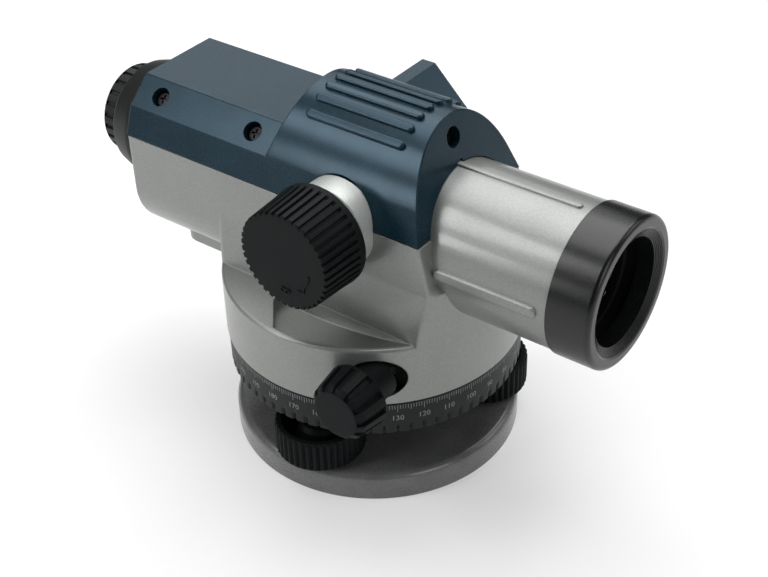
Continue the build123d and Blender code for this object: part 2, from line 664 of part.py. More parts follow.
def hood_outline(depth):
    """Side outline of the mirror hood's roof and 45-degree front, this deep."""
    run = HOOD_X1 + ROOF_Z - HOOD_Z0
    return [
        (HOOD_X0, ROOF_Z),
        (HOOD_X1, ROOF_Z),
        (run, HOOD_Z0),
        (run - depth * sqrt(2), HOOD_Z0),
        (HOOD_X1 - depth * (sqrt(2) - 1), ROOF_Z - depth),
        (HOOD_X0, ROOF_Z - depth),
    ]


with BuildPart() as top_cover:
    add(cover_solid(0))
    hood = Plane.XZ.offset(-HOOD_Y1)
    slab(hood, hood_outline(2.0), HOOD_Y1 - HOOD_Y0)
    slab(hood, hood_outline(2.0)[:3] + [(HOOD_X0, HOOD_Z0)], 2.0)
    box_between((HOOD_X0, HOOD_Y0, HOOD_Z0), (20.0, BODY_W + 0.3, SPLIT_Z), Mode.SUBTRACT)
    for row in range(-3, 4):
        with BuildSketch(grip_plane(row * GRIP_PITCH).offset(-WALL / 2)) as grip:
            SlotOverall(GRIP_X1 - GRIP_X0, GRIP_W)
        extrude(grip.sketch, amount=WALL / 2 + GRIP_H)
    add(cover_solid(WALL), mode=Mode.SUBTRACT)
    for plane in cover_screw_planes():
        with BuildSketch(plane) as boss:
            Circle(COVER_HOLE_R + 1.6)
        extrude(boss.sketch, amount=-COVER_BOSS)
        with BuildSketch(plane.offset(0.5)) as bore:
            Circle(COVER_HOLE_R)
        extrude(bore.sketch, amount=-COVER_SEAT - 0.5, mode=Mode.SUBTRACT)
        with BuildSketch(plane) as clearance:
            Circle(1.6)
        extrude(clearance.sketch, amount=-COVER_BOSS, mode=Mode.SUBTRACT)
    disc_x(TUBE_R + 0.4, TUBE_X0, 60, Mode.SUBTRACT)
    box_between((30, -1.7, AXIS_Z + TUBE_R - 1), (50, 1.7, AXIS_Z + TUBE_R + 1.4), Mode.SUBTRACT)
    disc_x(EYE_TUBE_R, BODY_REAR, ROOM_X0 + 1, Mode.SUBTRACT)
    disc_y(FOCUS_X, FOCUS_Z, FOCUS_BOSS_R + 0.1, -40, -ROOM_W + 3.0, Mode.SUBTRACT)
save(top_cover.part, "top_cover")

with BuildPart() as cover_screws:
    for plane in cover_screw_planes():
        with BuildSketch(plane.offset(-COVER_SEAT)) as head:
            Circle(2.9)
        extrude(head.sketch, amount=2.2)
        with BuildSketch(plane.offset(-COVER_SEAT)) as shank:
            Circle(1.5)
        extrude(shank.sketch, amount=-9.5)
        with BuildSketch(plane.offset(-COVER_SEAT + 1.0)) as cross:
            Rectangle(3.6, 0.8)
            Rectangle(0.8, 3.6)
        extrude(cross.sketch, amount=2.0, mode=Mode.SUBTRACT)
save(cover_screws.part, "cover_screws")

with BuildPart() as viewing_mirror:
    mirror_sum = HOOD_X1 + ROOF_Z - 2.0 * sqrt(2)
    slab(
        Plane.XZ.offset(-HOOD_Y1 + 2.3),
        [
            (-5.0, mirror_sum + 5.0),
            (9.8, mirror_sum - 9.8),
            (8.8, mirror_sum - 10.8),
            (-6.0, mirror_sum + 4.0),
        ],
        HOOD_Y1 - 2.3 - 33.0,
    )
save(viewing_mirror.part, "viewing_mirror")

# ---------------------------------------------------------------- circular level
with BuildPart() as level_bracket:
    box_between((VIAL_X - 11.0, BODY_W, VIAL_Z - 6.5), (VIAL_X + 11.0, VIAL_Y + 10.0, VIAL_Z - 4.0))
    fillet(level_bracket.edges().filter_by(Axis.Z).group_by(Axis.Y)[-1], 6.0)
    box_between((VIAL_X - 11.0, BODY_W, VIAL_Z - 9.2), (VIAL_X + 11.0, BODY_W + 2.4, VIAL_Z - 4.0))
    with BuildSketch(Plane.XY.offset(VIAL_Z - 6.5)):
        with Locations((VIAL_X, VIAL_Y)):
            with PolarLocations(6.0, 3, 90):
                Circle(1.1)
    extrude(amount=2.5, mode=Mode.SUBTRACT)
save(level_bracket.part, "level_bracket")

with BuildPart() as level_screws:
    with BuildSketch(Plane.XY.offset(VIAL_Z - 7.9)):
        with Locations((VIAL_X, VIAL_Y)):
            with PolarLocations(6.0, 3, 90):
                Circle(1.9)
    extrude(amount=1.4)
    with BuildSketch(Plane.XY.offset(VIAL_Z - 6.5)):
        with Locations((VIAL_X, VIAL_Y)):
            with PolarLocations(6.0, 3, 90):
                Circle(1.1)
    extrude(amount=4.5)
save(level_screws.part, "level_screws")

LEVEL_AT = (VIAL_X, VIAL_Y)
LEVEL_Z0 = VIAL_Z - 2.0
with BuildPart() as level_case:
    disc_z(8.4, LEVEL_Z0, LEVEL_Z0 + 7.5, at=LEVEL_AT)
    fillet(level_case.edges().sort_by(Axis.Z)[-1], 0.8)
    disc_z(7.2, LEVEL_Z0 + 1.6, LEVEL_Z0 + 7.5, Mode.SUBTRACT, LEVEL_AT)
save(level_case.part, "level_case")

with BuildPart() as level_vial:
    disc_z(7.2, LEVEL_Z0 + 1.6, LEVEL_Z0 + 7.3, at=LEVEL_AT)
    disc_z(6.2, LEVEL_Z0 + 2.6, LEVEL_Z0 + 6.3, Mode.SUBTRACT, LEVEL_AT)
save(level_vial.part, "level_vial")

with BuildPart() as level_liquid:
    disc_z(6.2, LEVEL_Z0 + 2.6, LEVEL_Z0 + 6.3, at=LEVEL_AT)
    disc_z(1.6, LEVEL_Z0 + 5.2, LEVEL_Z0 + 6.3, Mode.SUBTRACT, LEVEL_AT)
save(level_liquid.part, "level_liquid")

# ---------------------------------------------------------------- objective
CELL_OUT_R, LENS_R = TUBE_BORE_R, 20.4
CELL_X0, CELL_X1 = 76.0, 98.4
FLINT_X, CROWN_X = 82.0, 90.5          # rear face of the flint, front edge of the crown
LENS_JOIN_X = 88.0
LENS_BULGE = 3.0


def arc_face(x, radius, bulge):
    """Half of a spherical face's section, from its apex out to its edge."""
    sphere = (radius ** 2 + bulge ** 2) / (2 * abs(bulge))
    sign = 1 if bulge > 0 else -1
    half = radius / 2
    mid_x = x + bulge - sign * (sphere - sqrt(sphere ** 2 - half ** 2))
    ThreePointArc((x + bulge, 0), (mid_x, half), (x, radius))


def lens_solid(rear_x, front_x, radius, rear_bulge, front_bulge):
    """Lens between two edges; a positive bulge swells its face towards +X."""
    with BuildSketch(OPTICAL) as outline:
        with BuildLine():
            Line((rear_x + rear_bulge, 0), (front_x + front_bulge, 0))
            if front_bulge:
                arc_face(front_x, radius, front_bulge)
            else:
                Line((front_x, 0), (front_x, radius))
            Line((front_x, radius), (rear_x, radius))
            if rear_bulge:
                arc_face(rear_x, radius, rear_bulge)
            else:
                Line((rear_x, radius), (rear_x, 0))
        make_face()
    revolve(outline.sketch, axis=LINE_OF_SIGHT)


with BuildPart() as objective_cell:
    turned(
        [
            (CELL_X0, LENS_R - 2.0),
            (CELL_X0, CELL_OUT_R),
            (CELL_X1, CELL_OUT_R),
            (CELL_X1, LENS_R),
            (FLINT_X, LENS_R),
            (FLINT_X, LENS_R - 2.0),
        ]
    )
save(objective_cell.part, "objective_cell")

with BuildPart() as objective_flint:
    lens_solid(FLINT_X, LENS_JOIN_X, LENS_R, 0, -LENS_BULGE)
save(objective_flint.part, "objective_flint")

with BuildPart() as objective_crown:
    lens_solid(LENS_JOIN_X, CROWN_X, LENS_R, -LENS_BULGE, LENS_BULGE)
save(objective_crown.part, "objective_crown")

with BuildPart() as objective_retainer:
    ring_x(LENS_R, LENS_R - 1.6, CROWN_X + 0.5, CROWN_X + 3.5)
save(objective_retainer.part, "objective_retainer")

mouth = [(OBJECTIVE_X1, MOUTH_R0)]
for step in range(1, MOUTH_STEPS + 1):
    x = OBJECTIVE_X1 - MOUTH_DEPTH * step / MOUTH_STEPS
    mouth.append((x, mouth[-1][1]))
    mouth.append((x, MOUTH_R0 - (MOUTH_R0 - MOUTH_R1) * step / MOUTH_STEPS))

with BuildPart() as objective_ring:
    turned(
        [
            (TUBE_X1, CELL_OUT_R),
            (TUBE_X1, OBJECTIVE_R),
            (OBJECTIVE_X1, OBJECTIVE_R),
            *mouth,
            (CELL_X1, MOUTH_R1),
            (CELL_X1, CELL_OUT_R),
        ]
    )
    front = objective_ring.edges().filter_by(GeomType.CIRCLE).group_by(Axis.X)[-1]
    fillet(front.sort_by(SortBy.RADIUS)[-1], 3.6)
save(objective_ring.part, "objective_ring")

# ---------------------------------------------------------------- focusing
FOCUS_CELL_X0, FOCUS_CELL_X1 = 11.0, 29.0
GUIDE_X0, GUIDE_X1 = 0.5, 39.5
GUIDE_R = CELL_R + 2.5
RACK_Y0, RACK_Y1 = -19.0, -15.8
RACK_PITCH = pi * PINION_MODULE
RACK_LINE = FOCUS_Z - PINION_R
RACK_HALF = RACK_PITCH / 4 - 0.1
SMALL_FLANK = 0.34

with BuildPart() as focus_guide:
    ring_x(GUIDE_R, CELL_R + RUN_FIT, GUIDE_X0, GUIDE_X1)
    box_between((GUIDE_X0 + 1.0, -20.0, 97.5), (32.0, -9.0, 104.2), Mode.SUBTRACT)
    ring_x(TUBE_BORE_R, GUIDE_R - 1.0, GUIDE_X1 - 4.0, GUIDE_X1)
save(focus_guide.part, "focus_guide")

with BuildPart() as focus_cell:
    ring_x(CELL_R, 10.5, FOCUS_CELL_X0, FOCUS_CELL_X1)
    ring_x(11.0, 9.4, FOCUS_CELL_X0 + 5.0, FOCUS_CELL_X0 + 6.0)
save(focus_cell.part, "focus_cell")

with BuildPart() as focus_lens:
    lens_solid(FOCUS_CELL_X0 + 6.0, FOCUS_CELL_X0 + 11.0, 10.5, 1.2, -1.2)
save(focus_lens.part, "focus_lens")

with BuildPart() as focus_rack:
    box_between((FOCUS_CELL_X0 + 1.0, RACK_Y1, 99.0), (FOCUS_CELL_X0 + 10.0, -12.0, 102.5))
    disc_x(CELL_R, 0, 40, Mode.SUBTRACT)
    box_between((FOCUS_X - 13.0, RACK_Y0, 99.0), (FOCUS_X + 13.0, RACK_Y1, RACK_LINE - 0.6))
    with BuildSketch(along_y(RACK_Y0)):
        for tooth in range(-8, 8):
            with Locations((-(FOCUS_X + (tooth + 0.5) * RACK_PITCH), RACK_LINE)):
                Polygon(
                    (-RACK_HALF - 0.7 * SMALL_FLANK, -0.7),
                    (RACK_HALF + 0.7 * SMALL_FLANK, -0.7),
                    (RACK_HALF - 0.45 * SMALL_FLANK, 0.45),
                    (-RACK_HALF + 0.45 * SMALL_FLANK, 0.45),
                    align=None,
                )
    extrude(amount=RACK_Y1 - RACK_Y0)
save(focus_rack.part, "focus_rack")

with BuildPart() as focus_shaft:
    disc_y(FOCUS_X, FOCUS_Z, DRIVE_SHAFT_R, -FOCUS_KNOB_Y1 + 3.0, RACK_Y0 - 0.4)
    disc_y(FOCUS_X, FOCUS_Z, PINION_R - 0.65, RACK_Y0 - 0.4, RACK_Y1)
    with BuildSketch(along_y(RACK_Y0)):
        with Locations((-FOCUS_X, FOCUS_Z)):
            with PolarLocations(PINION_R, PINION_TEETH, -90):
                Polygon(
                    (-0.8, -RACK_HALF - 0.22),
                    (0.45, -0.16),
                    (0.45, 0.16),
                    (-0.8, RACK_HALF + 0.22),
                    align=None,
                )
    extrude(amount=RACK_Y1 - RACK_Y0)
save(focus_shaft.part, "focus_shaft")

with BuildPart() as focus_bearing:
    disc_y(FOCUS_X, FOCUS_Z, FOCUS_BOSS_R, -FOCUS_KNOB_Y0 + 0.3, -ROOM_W + 1.4)
    disc_y(FOCUS_X, FOCUS_Z, DRIVE_SHAFT_R + RUN_FIT, -40, -20, Mode.SUBTRACT)
save(focus_bearing.part, "focus_bearing")

with BuildPart() as focus_knob:
    with BuildSketch(Plane(origin=(FOCUS_X, 0, FOCUS_Z), x_dir=(0, 1, 0), z_dir=(1, 0, 0))):
        with BuildLine():
            Polyline(
                (-FOCUS_KNOB_Y0, DRIVE_SHAFT_R),
                (-FOCUS_KNOB_Y0, FOCUS_KNOB_R0 - 0.8),
                (-FOCUS_KNOB_Y0 - 0.8, FOCUS_KNOB_R0),
                (-FOCUS_KNOB_Y1 + 1.0, FOCUS_KNOB_R1),
                (-FOCUS_KNOB_Y1, FOCUS_KNOB_R1 - 1.0),
                (-FOCUS_KNOB_Y1, 0),
                (-FOCUS_KNOB_Y1 + 3.0, 0),
                (-FOCUS_KNOB_Y1 + 3.0, DRIVE_SHAFT_R),
                close=True,
            )
        make_face()
    revolve(axis=Axis((FOCUS_X, 0, FOCUS_Z), (0, 1, 0)))
    with BuildSketch(along_y(-FOCUS_KNOB_Y0 - 2.5)):
        with Locations((-FOCUS_X, FOCUS_Z)):
            with PolarLocations(FOCUS_KNOB_R0 + 0.1, 36):
                Circle(0.9)
    extrude(amount=-30, mode=Mode.SUBTRACT)
save(focus_knob.part, "focus_knob")

# ---------------------------------------------------------------- compensator
COMP_X0, COMP_X1 = -68.0, -16.0
COMP_W, COMP_TOP = 14.0, 109.5
PENDULUM_X, PENDULUM_Z = -41.0, 106.0  # pivot of the pendulum

with BuildPart() as compensator_frame:
    box_between((COMP_X0, -COMP_W, FLOOR_Z), (COMP_X1, COMP_W, FLOOR_Z + 2.5))
    for side in (-1, 1):
        y0, y1 = sorted((side * (COMP_W - 2.0), side * COMP_W))
        box_between((COMP_X0, y0, FLOOR_Z), (COMP_X1, y1, COMP_TOP))
        box_between((PENDULUM_X - 6.0, y0, 84.0), (PENDULUM_X + 6.0, y1, 100.0), Mode.SUBTRACT)
    for x0 in (COMP_X0, PENDULUM_X - 10.0, PENDULUM_X + 6.0, COMP_X1 - 4.0):
        box_between((x0, -COMP_W, COMP_TOP - 2.0), (x0 + 4.0, COMP_W, COMP_TOP))
save(compensator_frame.part, "compensator_frame")

with BuildPart() as fixed_prisms:
    for x0, lean in ((-31.0, 1), (-66.0, -1)):
        run = [(x0, 88.0), (x0 + 13.0, 88.0), (x0 + 13.0 if lean > 0 else x0, 104.0)]
        slab(Plane.XZ.offset(-COMP_W + 2.0), run, 2 * COMP_W - 4.0)
save(fixed_prisms.part, "fixed_prisms")

with BuildPart() as pendulum:
    box_between((PENDULUM_X - 7.0, -11.0, 86.0), (PENDULUM_X + 7.0, 11.0, 88.0))
    for side in (-1, 1):
        y0, y1 = sorted((side * 9.5, side * 11.0))
        box_between((PENDULUM_X - 3.0, y0, 86.0), (PENDULUM_X + 3.0, y1, PENDULUM_Z))
    box_between((PENDULUM_X - 4.0, -8.0, 83.0), (PENDULUM_X + 4.0, 8.0, 86.0))
save(pendulum.part, "pendulum")

with BuildPart() as pendulum_prism:
    slab(
        Plane.XZ.offset(-9.0),
        [(PENDULUM_X - 7.0, 88.0), (PENDULUM_X + 7.0, 88.0), (PENDULUM_X, 96.0)],
        18.0,
    )
save(pendulum_prism.part, "pendulum_prism")

with BuildPart() as suspension_wires:
    for side_x in (-8.0, 8.0):
        for y in (-10.2, 10.2):
            disc_z(0.25, PENDULUM_Z + 0.4, COMP_TOP - 2.0, at=(PENDULUM_X + side_x, y))
save(suspension_wires.part, "suspension_wires")

with BuildPart() as damper_magnet:
    box_between((PENDULUM_X - 6.0, -9.0, FLOOR_Z + 2.5), (PENDULUM_X + 6.0, 9.0, 82.0))
save(damper_magnet.part, "damper_magnet")

# ---------------------------------------------------------------- reticle and eyepiece
with BuildPart() as reticle_mount:
    box_between((-80.0, -19.0, FLOOR_Z + 1.6), (-74.0, 19.0, 107.2))
    box_between((-80.0, -13.0, FLOOR_Z), (-70.5, 13.0, FLOOR_Z + 2.5))
    disc_x(13.0, -80.0, -74.0, Mode.SUBTRACT)
save(reticle_mount.part, "reticle_mount")

with BuildPart() as reticle_ring:
    ring_x(13.0, 7.0, -79.5, -75.0)
    ring_x(8.0, 6.0, -78.0, -76.6)
    disc_x(8.0, -76.6, -75.0, Mode.SUBTRACT)
save(reticle_ring.part, "reticle_ring")

with BuildPart() as reticle_glass:
    disc_x(8.0, -76.6, -75.0)
save(reticle_glass.part, "reticle_glass")

with BuildPart() as eyepiece_tube:
    ring_x(EYE_TUBE_R, EYE_BORE_R, EYE_RING_X0 + 1.2, -81.0)
    ring_x(16.0, EYE_TUBE_R, BODY_REAR - 2.0, BODY_REAR)
save(eyepiece_tube.part, "eyepiece_tube")

with BuildPart() as eyepiece_cover:
    turned(
        [
            (EYE_COVER_X1, 16.0),
            (EYE_COVER_X1, EYE_COVER_R),
            (EYE_COVER_X1 - 10.0, EYE_COVER_R),
            (EYE_COVER_X0 + 2.0, EYE_COVER_R - 2.6),
            (EYE_COVER_X0, EYE_COVER_R - 4.4),
            (EYE_COVER_X0, EYE_TUBE_R + 0.4),
            (EYE_COVER_X0 + 2.0, EYE_TUBE_R + 0.4),
            (EYE_COVER_X0 + 2.0, EYE_COVER_R - 5.0),
            (EYE_COVER_X1 - 10.0, EYE_COVER_R - 2.4),
            (EYE_COVER_X1 - 2.0, EYE_COVER_R - 2.4),
            (EYE_COVER_X1 - 2.0, 16.0),
        ]
    )
save(eyepiece_cover.part, "eyepiece_cover")

with BuildPart() as dioptre_ring:
    turned(
        [
            (EYE_RING_X0, 8.0),
            (EYE_RING_X0, EYE_RING_R - 1.0),
            (EYE_RING_X0 + 1.0, EYE_RING_R),
            (EYE_COVER_X0 - 0.4, EYE_RING_R),
            (EYE_COVER_X0 - 0.4, EYE_TUBE_R + RUN_FIT),
            (EYE_RING_X0 + 1.0, EYE_TUBE_R + RUN_FIT),
            (EYE_RING_X0 + 1.0, 8.0),
        ]
    )
    with BuildSketch(along_x(EYE_RING_X0)):
        with Locations((0, AXIS_Z)):
            with PolarLocations(EYE_RING_R, 24):
                Rectangle(1.2, 2.2)
    extrude(amount=5.5, mode=Mode.SUBTRACT)
save(dioptre_ring.part, "dioptre_ring")

with BuildPart() as ocular_cell:
    ring_x(EYE_BORE_R - RUN_FIT, 8.6, -116.0, -96.0)
    ring_x(8.6, 7.4, -109.5, -104.0)
save(ocular_cell.part, "ocular_cell")

with BuildPart() as ocular_lenses:
    lens_solid(-114.0, -109.5, 8.6, 0, 0)
    lens_solid(-104.0, -99.5, 8.6, 0, 1.4)
save(ocular_lenses.part, "ocular_lenses")
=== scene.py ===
"""Looks of the automatic level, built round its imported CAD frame.

Lengths are in millimetres, and add_mesh() turns them into metres."""
import json
from math import atan2, cos, hypot, pi, radians, sin, sqrt, tan

import bmesh
import bpy
from mathutils import Matrix, Vector


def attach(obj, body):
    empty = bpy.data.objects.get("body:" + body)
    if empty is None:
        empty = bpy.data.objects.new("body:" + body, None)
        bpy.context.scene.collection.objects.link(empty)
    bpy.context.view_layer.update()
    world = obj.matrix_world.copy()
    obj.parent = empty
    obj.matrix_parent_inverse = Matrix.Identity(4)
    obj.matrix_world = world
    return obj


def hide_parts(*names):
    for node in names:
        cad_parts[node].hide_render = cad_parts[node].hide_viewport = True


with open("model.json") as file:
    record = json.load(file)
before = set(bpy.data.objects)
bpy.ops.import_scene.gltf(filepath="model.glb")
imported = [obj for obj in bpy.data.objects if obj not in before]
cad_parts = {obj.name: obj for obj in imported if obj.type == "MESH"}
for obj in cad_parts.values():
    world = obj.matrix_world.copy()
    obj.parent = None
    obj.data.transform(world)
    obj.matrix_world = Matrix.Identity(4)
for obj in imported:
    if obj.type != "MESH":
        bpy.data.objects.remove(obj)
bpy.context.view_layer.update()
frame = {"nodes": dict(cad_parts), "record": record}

MM = 0.001
WELD = 5e-6                      # metres: vertices nearer than this are one after a boolean
AXIS_Z = 98.5                    # line of sight
SCREW_RADIUS, SCREW_ANGLES = 42.2, (-83.6, 36.4, 156.4)


# ---------------------------------------------------------------- outlines
def rounded(points, radii, closed=True, steps=5):
    """Outline of 2-D points with its corners rounded. radii is one number, or one for each point."""
    count, out = len(points), []
    for i, point in enumerate(points):
        radius = radii[i] if isinstance(radii, (list, tuple)) else radii
        if radius <= 0 or (not closed and i in (0, count - 1)):
            out.append(tuple(point))
            continue
        p = Vector(point)
        u, v = Vector(points[i - 1]) - p, Vector(points[(i + 1) % count]) - p
        u_len, v_len = u.length, v.length
        u, v = u / u_len, v / v_len
        half = u.angle(v) / 2
        if half > pi / 2 - 0.01:
            out.append(tuple(point))
            continue
        run = min(radius / tan(half), 0.48 * u_len, 0.48 * v_len)
        reach = run * tan(half)
        centre = p + (u + v).normalized() * (reach / sin(half))
        start, end = p + u * run - centre, p + v * run - centre
        a0 = atan2(start.y, start.x)
        sweep = (atan2(end.y, end.x) - a0 + pi) % (2 * pi) - pi
        for k in range(steps + 1):
            a = a0 + sweep * k / steps
            out.append((centre.x + reach * cos(a), centre.y + reach * sin(a)))
    return out


def dense(points, step, closed=False):
    """Outline with its long runs divided so that no run is longer than step."""
    out = []
    ends = points[1:] + ([points[0]] if closed else [])
    for (x0, y0), (x1, y1) in zip(points, ends):
        parts = max(1, int(hypot(x1 - x0, y1 - y0) / step + 0.5))
        out += [(x0 + (x1 - x0) * k / parts, y0 + (y1 - y0) * k / parts) for k in range(parts)]
    return out if closed else out + [points[-1]]


def slot_outline(x0, x1, width, steps=8):
    """Round-ended slot lying along x, centred on y = 0."""
    r = width / 2
    right = [(x1 - r + r * cos(a), r * sin(a)) for a in (pi * (k / steps - 0.5) for k in range(steps + 1))]
    left = [(x0 + r + r * cos(a), r * sin(a)) for a in (pi * (k / steps + 0.5) for k in range(steps + 1))]
    return right + left


def inset(outline, amount):
    """Closed outline moved inwards by amount along its corners' normals. It runs anticlockwise."""
    out, count = [], len(outline)
    for i, point in enumerate(outline):
        a, b = Vector(outline[i - 1]), Vector(outline[(i + 1) % count])
        p = Vector(point)
        u = (p - a).normalized() if (p - a).length > 1e-9 else (b - p).normalized()
        v = (b - p).normalized() if (b - p).length > 1e-9 else u
        normal = Vector((-(u.y + v.y), u.x + v.x))
        normal.normalize()
        stretch = max(0.5, abs(normal.dot(Vector((-u.y, u.x)))))
        out.append(tuple(p + normal * (amount / stretch)))
    return out


# ---------------------------------------------------------------- meshes
def add_mesh(name, verts, faces):
    """Mesh object from vertices in millimetres, with its faces pointing outwards."""
    mesh = bpy.data.meshes.new(name)
    mesh.from_pydata([Vector(v) * MM for v in verts], [], faces)
    bm = bmesh.new()
    bm.from_mesh(mesh)
    bmesh.ops.remove_doubles(bm, verts=bm.verts, dist=2e-6)
    bmesh.ops.dissolve_degenerate(bm, dist=1e-7, edges=bm.edges)
    bmesh.ops.recalc_face_normals(bm, faces=bm.faces)
    bm.to_mesh(mesh)
    bm.free()
    obj = bpy.data.objects.new(name, mesh)
    bpy.context.scene.collection.objects.link(obj)
    return obj


def placed(axis, centre, radius, angle, along):
    """Point at this radius, angle and distance along an axis through centre."""
    c, s = radius * cos(angle), radius * sin(angle)
    x, y, z = centre
    if axis == "X":
        return x + along, y + c, z + s
    if axis == "Y":
        return x + c, y + along, z + s
    return x + c, y + s, z + along


def lathe(name, profile, axis="X", centre=(0, 0, AXIS_Z), segments=160, shape=None, ring=True):
    """Turned piece from (radius, along) points.

    A ring's profile closes on itself, and a rod's ends on the axis.
    shape(radius, angle, along) returns the radius there, for flutes and ribs."""
    verts, rows = [], []
    for radius, along in profile:
        if radius < 1e-6:
            rows.append([len(verts)] * segments)
            verts.append(placed(axis, centre, 0, 0, along))
            continue
        rows.append(list(range(len(verts), len(verts) + segments)))
        for k in range(segments):
            a = 2 * pi * k / segments
            verts.append(placed(axis, centre, shape(radius, a, along) if shape else radius, a, along))
    faces = []
    last = len(rows) if ring else len(rows) - 1
    for i in range(last):
        low, high = rows[i], rows[(i + 1) % len(rows)]
        for k in range(segments):
            n = (k + 1) % segments
            face = list(dict.fromkeys((low[k], low[n], high[n], high[k])))
            if len(face) > 2:
                faces.append(face)
    return add_mesh(name, verts, faces)


def rod(radius, start, end, axis="X", centre=(0, 0, AXIS_Z), segments=96):
    """Plain round rod along an axis, to add or to cut away."""
    profile = [(0, start), (radius, start), (radius, end), (0, end)]
    return lathe("rod", profile, axis, centre, segments, ring=False)


def beyond(limit, shape):
    """Lathe shape that acts only on radii over limit."""
    return lambda radius, angle, along: shape(radius, angle, along) if radius > limit else radius


def loft(name, loops):
    """Capped skin over closed loops of 3-D points, each with the same number of points."""
    count = len(loops[0])
    verts = [p for loop in loops for p in loop]
    faces = []
    for i in range(len(loops) - 1):
        for k in range(count):
            n = (k + 1) % count
            faces.append((i * count + k, i * count + n, (i + 1) * count + n, (i + 1) * count + k))
    faces.append(tuple(reversed(range(count))))
    faces.append(tuple(range((len(loops) - 1) * count, len(loops) * count)))
    return add_mesh(name, verts, faces)


def upright(u, v, height):
    """Outline on the XY plane, its height along Z."""
    return u, v, height


def lengthwise(u, v, height):
    """Outline on the YZ plane, its height along X."""
    return height, u, v


def crosswise(u, v, height):
    """Outline on the XZ plane, its height along Y."""
    return u, height, v


def prism(name, outline, to_3d, low, high, low_round=0.0, high_round=0.0, steps=4):
    """Block on a closed outline from low to high, its end edges rounded.

    low and high are heights, or functions of (u, v) that return them.
    to_3d(u, v, height) places a point."""
    arcs = [(k / steps * pi / 2) for k in range(steps + 1)]
    levels = [(low, 0.0, 0.0)]
    if low_round:
        levels = [(low, low_round * (1 - cos(a)), low_round * (1 - sin(a))) for a in arcs]
    if high_round:
        levels += [(high, -high_round * (1 - sin(a)), high_round * (1 - cos(a))) for a in arcs]
    else:
        levels.append((high, 0.0, 0.0))
    rings = []
    for end, step, depth in levels:
        edge = inset(outline, depth) if depth else outline
        rings.append([to_3d(u, v, (end(u, v) if callable(end) else end) + step) for u, v in edge])
    return loft(name, rings)


def block(name, low, high):
    """Box between two corners."""
    (x0, y0, z0), (x1, y1, z1) = low, high
    return prism(name, [(x0, y0), (x1, y0), (x1, y1), (x0, y1)], upright, z0, z1)


def seated(obj, origin, outward, along=(1, 0, 0)):
    """Object built on the XY plane, moved so that its Z axis points outward from origin."""
    z = Vector(outward).normalized()
    y = z.cross(Vector(along)).normalized()
    turn = Matrix((y.cross(z), y, z)).transposed().to_4x4()
    obj.data.transform(Matrix.Translation(Vector(origin) * MM) @ turn)
    return obj


def combine(target, others, operation):
    """Boolean of target with other objects in turn, which are used up."""
    for other in others:
        step = target.modifiers.new("combine", "BOOLEAN")
        step.operation, step.object, step.solver = operation, other, "EXACT"
        mesh = bpy.data.meshes.new_from_object(target.evaluated_get(bpy.context.evaluated_depsgraph_get()))
        target.modifiers.clear()
        bm = bmesh.new()
        bm.from_mesh(mesh)
        bmesh.ops.remove_doubles(bm, verts=bm.verts, dist=WELD)
        bmesh.ops.dissolve_degenerate(bm, dist=2e-6, edges=bm.edges)
        bm.to_mesh(mesh)
        bm.free()
        target.data = mesh
        bpy.data.objects.remove(other, do_unlink=True)
    return target


def merge(name, objects):
    """One object holding the meshes of several, which are used up."""
    bm = bmesh.new()
    for obj in objects:
        bm.from_mesh(obj.data)
        bpy.data.objects.remove(obj, do_unlink=True)
    mesh = bpy.data.meshes.new(name)
    bm.to_mesh(mesh)
    bm.free()
    joined = bpy.data.objects.new(name, mesh)
    bpy.context.scene.collection.objects.link(joined)
    return joined


def piece(obj, body, material, slot, *nodes, angle=32):
    """Finish a piece: smooth shading with crisp edges, material, body and the nodes it replaces. slot is
    not used.
    """
    mesh = obj.data
    mesh.materials.clear()
    mesh.materials.append(material)
    for polygon in mesh.polygons:
        polygon.use_smooth = True
    mesh.set_sharp_from_angle(angle=radians(angle))
    weighted = obj.modifiers.new("even_shading", "WEIGHTED_NORMAL")
    weighted.keep_sharp = True
    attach(obj, body)
    if nodes:
        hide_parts(*nodes)


def polar(radius, angle):
    """X and Y at this radius and angle in degrees."""
    return radius * cos(radians(angle)), radius * sin(radians(angle))


